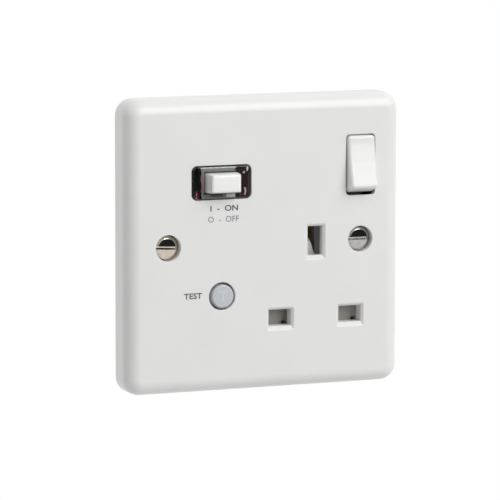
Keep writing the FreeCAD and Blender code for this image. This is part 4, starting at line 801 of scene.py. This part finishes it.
def curved_rocker():
    """The rocker, cut into slices whose fronts are moved onto one curve from the nose to the heel."""
    skin = merged("rocker")
    step = (ROCKER_HIGH.z - ROCKER_LOW.z) / ROCKER_SLICES
    first, last = ROCKER_ENDS
    shifts = {}
    for number in range(1, ROCKER_SLICES):
        level = ROCKER_LOW.z + step * number
        whole = [*skin.verts, *skin.edges, *skin.faces]
        spot = (0.0, 0.0, level)
        bmesh.ops.bisect_plane(skin, geom=whole, dist=WELD, plane_co=spot, plane_no=(0.0, 0.0, 1.0))
        front = min(corner.co.y for corner in skin.verts if abs(corner.co.z - level) < UM)
        share = (number - first) / (last - first)
        wanted = NOSE_FRONT + (HEEL_FRONT - NOSE_FRONT) * share + 4 * ROCKER_DISH * share * (1 - share)
        shifts[number] = wanted - front
    for corner in skin.verts:
        place = min(last - ROCKER_END_SLACK, max(first, (corner.co.z - ROCKER_LOW.z) / step))
        before = int(place)
        shift = shifts[before] + (shifts[before + 1] - shifts[before]) * (place - before)
        corner.co.y += shift * min(1.0, max(0.0, (ROCKER_SKIN - corner.co.y) / ROCKER_FADE))
    return rounded(object_from(skin, "rocker_dressed"), ROCKER_ROUND)


placed(curved_rocker(), "rocker")

# Pin holes: each one's middle across and up, its width and its height, in millimetres
PIN_HOLES = [(4.9, -22.6, 7.0, 4.8), (27.1, -22.6, 7.0, 4.8), (16.0, -0.4, 4.6, 8.6)]
PIN_MOUTH = 0.75
PIN_REACH = 0.3
MOUTH_FOOT = -9.3
THROAT_FOOT = -3 * MM
THROAT_RISE = 0.45 * MM

# The sleeves behind the pin holes, and how much is cut off their ends
SLEEVES_LEFT = -2 * MM
SLEEVES_TOP = 8 * MM
SLEEVE_END = -4.5 * MM
SLEEVE_REACH = 0.3 * MM
SLEEVE_CUT = 1.3 * MM
EARTH_SLEEVE_CUT = 2.4 * MM
EARTH_LEVEL = -7 * MM

# The test button's cap
TEST_MIDDLE = Vector((-13.5 * MM, 0.0, -14.8 * MM))
TEST_CAP_FOOT = -9.0 * MM
TEST_CAP_SHARE = 0.95
TEST_CAP_SHIFT = 0.1 * MM


def rises(place):
    """Is this corner of the plate on a pin hole's throat or the top of its mouth?"""
    across, deep, up = place / MM
    for middle, level, wide, tall in PIN_HOLES:
        side = abs(across - middle) - wide / 2
        over = up - level
        if deep > MOUTH_FOOT:
            if side < PIN_REACH and abs(over) < tall / 2 + PIN_REACH:
                return True
        elif side < PIN_MOUTH + PIN_REACH and abs(over - tall / 2 - PIN_MOUTH) < PIN_REACH:
            return True
    return False


def raise_throats(plate):
    """Put the pin holes' throats, and the tops of their mouths, as high as the photo shows them."""
    for corner in plate.data.vertices:
        if corner.co.y < THROAT_FOOT and rises(corner.co):
            corner.co.z += THROAT_RISE


def shorten_sleeves(plate):
    """Let the pin holes' sleeves stop well short of the shutter."""
    for corner in plate.data.vertices:
        at_end = abs(corner.co.y - SLEEVE_END) < SLEEVE_REACH
        if at_end and corner.co.x > SLEEVES_LEFT and corner.co.z < SLEEVES_TOP:
            corner.co.y -= EARTH_SLEEVE_CUT if corner.co.z > EARTH_LEVEL else SLEEVE_CUT


def narrow_cap(button):
    """Leave a wider gap round the test button's cap."""
    for corner in button.data.vertices:
        if corner.co.y < TEST_CAP_FOOT:
            for axis in (0, 2):
                corner.co[axis] = TEST_MIDDLE[axis] + (corner.co[axis] - TEST_MIDDLE[axis]) * TEST_CAP_SHARE
            corner.co.x += TEST_CAP_SHIFT


raise_throats(DRESSED["front_plate"])
shorten_sleeves(DRESSED["front_plate"])
narrow_cap(DRESSED["test_button"])

# The dark well behind the rocker's opening, as painted shade: its floor, its right wall and its back, in
# millimetres
WELL_ACROSS = (25.2, 36.9)
WELL_DEEP = (-7.2, -1.2)
WELL_UP = (11.5, 32.4)
WELL_WALL = 0.7
WELL_BACK_STARTS = 34.0
WELL_ROUND = 0.1 * MM


def block(across, deep, up):
    """A block between three pairs of limits, in millimetres."""
    made = box_of(*[(high - low) * MM for low, high in (across, deep, up)])
    return moved(made, UPRIGHT, [(low + high) / 2 * MM for low, high in (across, deep, up)])


def rocker_shade_well():
    """Three thin black walls in one piece, which darken the gap as painted shade."""
    floor = block(WELL_ACROSS, WELL_DEEP, (WELL_UP[0], WELL_UP[0] + WELL_WALL))
    right = block((WELL_ACROSS[1] - WELL_WALL, WELL_ACROSS[1]), WELL_DEEP, WELL_UP)
    back = block((WELL_BACK_STARTS, WELL_ACROSS[1]), (WELL_DEEP[1] - WELL_WALL, WELL_DEEP[1]), WELL_UP)
    return rounded(joined([floor, right, back], "rocker_shade_well"), WELL_ROUND)


finished(rocker_shade_well(), FINISHES["black_plastic"], "socket")

# Window lens
LENS_LOW, LENS_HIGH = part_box("window_lens")
LENS_BORDER = 1.45 * MM
LENS_ROUND = 0.08 * MM
LENS_FRONTAL = 0.97


def on_lens_edge(middle, normal):
    """Is this face on the lens's outer side or its chamfer?"""
    sides = [middle.x - LENS_LOW.x, LENS_HIGH.x - middle.x, middle.z - LENS_LOW.z, LENS_HIGH.z - middle.z]
    return min(sides) < LENS_BORDER and abs(normal.y) < LENS_FRONTAL


# The lens's outer sides and chamfer get the painted edge shade
painted(softened("window_lens", LENS_ROUND), LENS_EDGE_SHADE, on_lens_edge)

# Coil springs: wire radius in millimetres, turns, the joint that presses each one, and its travel
SPRINGS = {
    "reset_spring": (0.2, 4.5, "reset_press", 2.6),
    "test_spring": (0.2, 4.5, "test_press", 1.5),
    "carrier_spring": (0.25, 6.5, "carrier_slide", 2.6),
    "shutter_spring": (0.15, 11.5, "shutter_slide", 5.4),
}
for node, (wire, turns, joint, stroke) in SPRINGS.items():
    low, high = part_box(node)
    upright = node == "shutter_spring"
    axis = 2 if upright else 1
    length = high[axis] - low[axis]
    outer = (high.x - low.x) / 2
    spring = COIL.grow(f"{node}_coil", outer - wire * MM, wire * MM, length, turns, CLOSED_TURNS)
    middle = (low + high) / 2
    middle[axis] = low[axis]
    moved(spring, UPRIGHT if upright else INTO_WALL, middle)
    placed(spring, node)
    anchor = Vector(middle)
    anchor[axis] = low[axis] if upright else high[axis]
    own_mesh(spring)

# Fixing screws: the head's outline is in millimetres of radius and height, from its top downwards
SCREW_SPACING = 60.3 * MM
HEAD_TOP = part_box("fixing_screws")[0].y
HEAD_SHARP = math.radians(15)
DOME_RADIUS = 24.0
DOME_STEPS = (0.0, 0.7, 1.4, 2.1, 2.7)
SHOULDER = [(2.86, -0.225), (3.25, -0.57), (3.42, -0.78), (3.5, -1.05)]
UNDERSIDE = [(3.5, -1.7), (3.42, -2.1), (3.0, -2.4)]
NECK = [(1.5, -2.4), (1.5, -8.75), (1.2, -9.1), (0.0, -9.1)]
SLOT_TILTS = (3.0, 0.0)
SLOT_LEAN = 4.0
SLOT_LONG = 9 * MM
SLOT_WIDE = 0.9 * MM
SLOT_DEEP = 1.4 * MM
SLOT_SIDEWAYS = 0.9
SLOT_REACH = 0.55
THREAD_ROOT = 1.42 * MM
THREAD_CREST = 1.75 * MM
THREAD_PITCH = 0.6 * MM
THREAD_TIP = 1.1 * MM
THREAD_END = 18.6 * MM
THREAD_WELD = 2 * UM
THREAD_SLIVER = 1 * UM


def on_slot_wall(middle, normal):
    """Is this face on a wall of the slot?"""
    inside = abs(middle.y) < SLOT_WIDE * SLOT_REACH and middle.z > -SLOT_DEEP
    return inside and abs(normal.y) > SLOT_SIDEWAYS


def dome_drop(reach):
    """How far the head's dome has dropped at this reach from its middle, to a thousandth."""
    return round(DOME_RADIUS - math.sqrt(DOME_RADIUS ** 2 - reach ** 2), 3)


def screw_head():
    """A low domed head on a plain neck, with a slot that leans a little."""
    outline = [(reach, -dome_drop(reach)) for reach in DOME_STEPS] + SHOULDER + UNDERSIDE + NECK
    head = turned([(radius * MM, height * MM) for radius, height in outline], "screw_head")
    cutter = box_of(SLOT_LONG, SLOT_WIDE, 2 * SLOT_DEEP)
    carved(head, moved(cutter, turn_about("X", SLOT_LEAN), (0.0, 0.0, 0.0)))
    head.data.shade_smooth()
    head.data.set_sharp_from_angle(angle=HEAD_SHARP)
    head.data.materials.append(FINISHES["plated_steel"])
    # The slot's walls are painted dark: painted shade, with some dirt
    painted(head, SLOT_DIRT_AND_SHADE, on_slot_wall)
    return head


def screw_thread():
    """The thread, with its doubles joined, its ends closed and its faces turned outwards."""
    piece = THREAD.grow("screw_thread", THREAD_ROOT, THREAD_CREST, THREAD_PITCH, THREAD_END, THREAD_TIP)
    skin = bmesh.new()
    skin.from_mesh(piece.data)
    bmesh.ops.remove_doubles(skin, verts=skin.verts, dist=THREAD_WELD)
    bmesh.ops.dissolve_degenerate(skin, edges=skin.edges, dist=THREAD_SLIVER)
    bmesh.ops.holes_fill(skin, edges=skin.edges)
    bmesh.ops.recalc_face_normals(skin, faces=skin.faces)
    skin.to_mesh(piece.data)
    skin.free()
    return piece


def fixing_screws():
    """Both screws in one piece, each with its slot at its own tilt."""
    pieces = []
    for side, tilt in zip((-SCREW_SPACING / 2, SCREW_SPACING / 2), SLOT_TILTS):
        pieces.append(moved(screw_head(), turn_about("Y", tilt) @ TOWARDS_ROOM, (side, HEAD_TOP, 0.0)))
        pieces.append(moved(screw_thread(), INTO_WALL, (side, 0.0, 0.0)))
    return joined(pieces, "fixing_screws_dressed")


screws = placed(fixing_screws(), "fixing_screws")
screws.data.materials.append(SLOT_DIRT_AND_SHADE)

# Generic print and marks: how much bolder the strokes are, and how far they stand out in millimetres
PLATE = "front_plate"
BOLD = 0.02
CAP_BOLD = 0.04
PRINT_THICK = 0.012
CAP_THICK = 0.08
CURVE_STEPS = 4
TEST_CAP = (TEST_MIDDLE.x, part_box("test_button")[0].y, TEST_MIDDLE.z)


def words_mesh(name, words, tall, wide, raised, weight):
    """Words round the origin, facing up Z, as tall and wide as given in millimetres."""
    text = bpy.data.curves.new(name, "FONT")
    text.body = words
    text.align_x = "CENTER"
    text.align_y = "CENTER"
    text.extrude = raised * MM
    text.offset = weight
    text.resolution_u = CURVE_STEPS
    label = linked(name, text)
    mesh = plain_mesh(label)
    bpy.data.objects.remove(label)
    across = [corner.co.x for corner in mesh.vertices]
    up = [corner.co.y for corner in mesh.vertices]
    middle = Vector(((max(across) + min(across)) / 2, (max(up) + min(up)) / 2, 0.0))
    size = Vector(((wide * MM) / (max(across) - min(across)), (tall * MM) / (max(up) - min(up)), 1.0))
    mesh.transform(Matrix.Diagonal((*size, 1.0)) @ Matrix.Translation(-middle))
    mesh.materials.clear()
    return linked(name, mesh)


def lettering(name, words, tall, wide, place, ink, carrier, raised=PRINT_THICK, weight=0.0):
    """Words on the front of a node, around a place."""
    made = moved(words_mesh(name, words, tall, wide, raised, weight), TOWARDS_ROOM, place)
    finished(made, ink, BODIES[carrier])


lettering("on_mark", "I  -  ON", 1.7, 8.6, (-12.9 * MM, FACE, 11.0 * MM), DARK_INK, PLATE, weight=BOLD)
lettering("off_mark", "O  -  OFF", 1.7, 9.6, (-13.1 * MM, FACE, 7.8 * MM), PALE_INK, PLATE)
lettering("cap_mark", "T", 3.4, 3.0, TEST_CAP, CAP_INK, "test_button", CAP_THICK, CAP_BOLD)
lettering("test_mark", "TEST", 1.7, 5.6, (-22.6 * MM, FACE, -14.3 * MM), DARK_INK, PLATE, weight=BOLD)

# Marks moulded into the back: terminal letters, ejector marks and a sunk place for a label, left bare
BACK_SINK = 0.25 * MM
PRESSED_SHARP = math.radians(50)
FROM_BEHIND = turn_about("Z", 180) @ TOWARDS_ROOM
TERMINALS = {"live_terminal": "L", "earth_terminal": "E", "neutral_terminal": "N"}
LETTER_OVER = 8.6 * MM
LETTER_TALL = 3.0
LETTER_WIDE = 2.2
EJECTORS = [(-20.0, 22.0), (20.0, 22.0), (-20.0, -10.0), (20.0, -10.0), (0.0, 27.0)]
EJECTOR_SIZE = 2.2 * MM
EJECTOR_STEPS = 40
LABEL_PLACE = (26 * MM, 14 * MM)
LABEL_LEVEL = 8 * MM
LABEL_ROUND = 0.12 * MM


def pressed(piece, cutter):
    """The piece with the cutter's shape pressed into it, and its surface shading mended."""
    carved(piece, cutter)
    piece.data.shade_smooth()
    piece.data.set_sharp_from_angle(angle=PRESSED_SHARP)
    even_shading(piece)


def disc(radius, depth, place):
    """A round cutter for the back, whose middle is at a place on it."""
    outline = [(0.0, depth), (radius, depth), (radius, -depth), (0.0, -depth)]
    return moved(turned(outline, "cutter", EJECTOR_STEPS), INTO_WALL, place)


def mark_back(housing):
    """Press the marks into the housing's back."""
    label = moved(box_of(LABEL_PLACE[0], 2 * BACK_SINK, LABEL_PLACE[1]), UPRIGHT, (0.0, BACK, LABEL_LEVEL))
    pressed(housing, rounded(label, LABEL_ROUND))
    for across, up in EJECTORS:
        pressed(housing, disc(EJECTOR_SIZE, BACK_SINK, (across * MM, BACK, up * MM)))
    for node, letter in TERMINALS.items():
        low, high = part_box(node)
        place = ((low.x + high.x) / 2, BACK, high.z + LETTER_OVER - (high.z - low.z) / 2)
        cutter = words_mesh("cutter", letter, LETTER_TALL, LETTER_WIDE, BACK_SINK / MM, BOLD)
        pressed(housing, moved(cutter, FROM_BEHIND, place))


mark_back(DRESSED["rear_housing"])

# Stage
FLOOR = -0.0445
FAR = 6.0


def stage_plane(name, corners, light):
    """A pale sheet that only the camera sees."""
    skin = bmesh.new()
    skin.faces.new([skin.verts.new(corner) for corner in corners])
    sheet = object_from(skin, name)
    values = {
        "Base Color": tone(0, 0, 0),
        "Specular IOR Level": 0.0,
        "Emission Color": tone(255, 255, 255),
        "Emission Strength": light,
    }
    sheet.data.materials.append(Finish(name, values).material)
    sheet.visible_diffuse = False
    sheet.visible_glossy = False
    sheet.visible_transmission = False
    sheet.visible_shadow = False


stage_plane("floor", [(-FAR, -FAR, FLOOR), (FAR, -FAR, FLOOR), (FAR, FAR, FLOOR), (-FAR, FAR, FLOOR)], 1.0)

# The room's light by height, from 0 straight below to 1 straight above, and on the left and behind
ROOM_LEVELS = [
    (0.0, 0.66), (0.418, 0.72), (0.436, 0.02), (0.55, 0.02), (0.61, 0.5), (0.9, 0.98), (0.98, 0.2),
]
LEFT_DIMMED = 0.35
BEHIND_STARTS = 0.05
BEHIND_SLOPE = 2.5
BEHIND_LEVEL = 0.92


def grey(level):
    return (level, level, level, 1.0)


def studio():
    """A white room that is dark in front, level with the socket, dimmer on the left and even behind."""
    world = bpy.data.worlds.new("studio")
    world.use_nodes = True
    bpy.context.scene.world = world
    tree = Tree(world.node_tree)
    way = tree.node("ShaderNodeTexCoord", {}, {}, "Generated")
    stops = [(place, grey(level)) for place, level in ROOM_LEVELS]
    front = tree.node("ShaderNodeValToRGB", {"stops": stops}, {0: way.part("Z") * 0.5 + 0.5})
    left = (0.0 - way.part("X")).clamped(0.0, 1.0)
    dimmed = tree.mixed(left * LEFT_DIMMED, front, grey(0.0))
    behind = ((way.part("Y") - BEHIND_STARTS) * BEHIND_SLOPE).clamped(0.0, 1.0)
    light = tree.mixed(behind, dimmed, grey(BEHIND_LEVEL))
    tree.feed(tree.nodes["Background"].inputs["Color"], light)
    tree.feed(tree.nodes["Background"].inputs["Strength"], 1.0)


def soft_light(name, azimuth, elevation, distance, size, radiance):
    """A rectangular lamp that looks at the socket from a direction: azimuth right of straight in front."""
    width, height = size
    lamp = bpy.data.lights.new(name, "AREA")
    lamp.shape = "RECTANGLE"
    lamp.size = width
    lamp.size_y = height
    lamp.energy = radiance * math.pi * width * height
    level = distance * math.cos(math.radians(elevation))
    side, front = math.sin(math.radians(azimuth)), math.cos(math.radians(azimuth))
    made = linked(name, lamp)
    made.location = (level * side, -level * front, distance * math.sin(math.radians(elevation)))
    made.rotation_euler = (-made.location).to_track_quat("-Z", "Y").to_euler()
    made.visible_camera = False


studio()
soft_light("key", azimuth=28.0, elevation=31.0, distance=1.3, size=(0.9, 1.1), radiance=3.4)

# Camera
CAMERA_PLACE = (-0.4174, -1.0346, 0.1471)
CAMERA_YAW = 21.929
CAMERA_DOWN = 7.668
CAMERA_ROLL = 0.093
CAMERA_LENS = 275.93
camera = linked("camera", bpy.data.cameras.new("camera"))
camera.data.lens = CAMERA_LENS
camera.data.sensor_width = 36.0
camera.data.clip_start = 0.01
camera.data.clip_end = 50.0
turn = turn_about("Z", -CAMERA_YAW) @ turn_about("X", 90 - CAMERA_DOWN)
camera.matrix_world = Matrix.Translation(CAMERA_PLACE) @ turn @ turn_about("Z", CAMERA_ROLL)
bpy.context.scene.camera = camera
bpy.context.scene.view_settings.view_transform = "Standard"
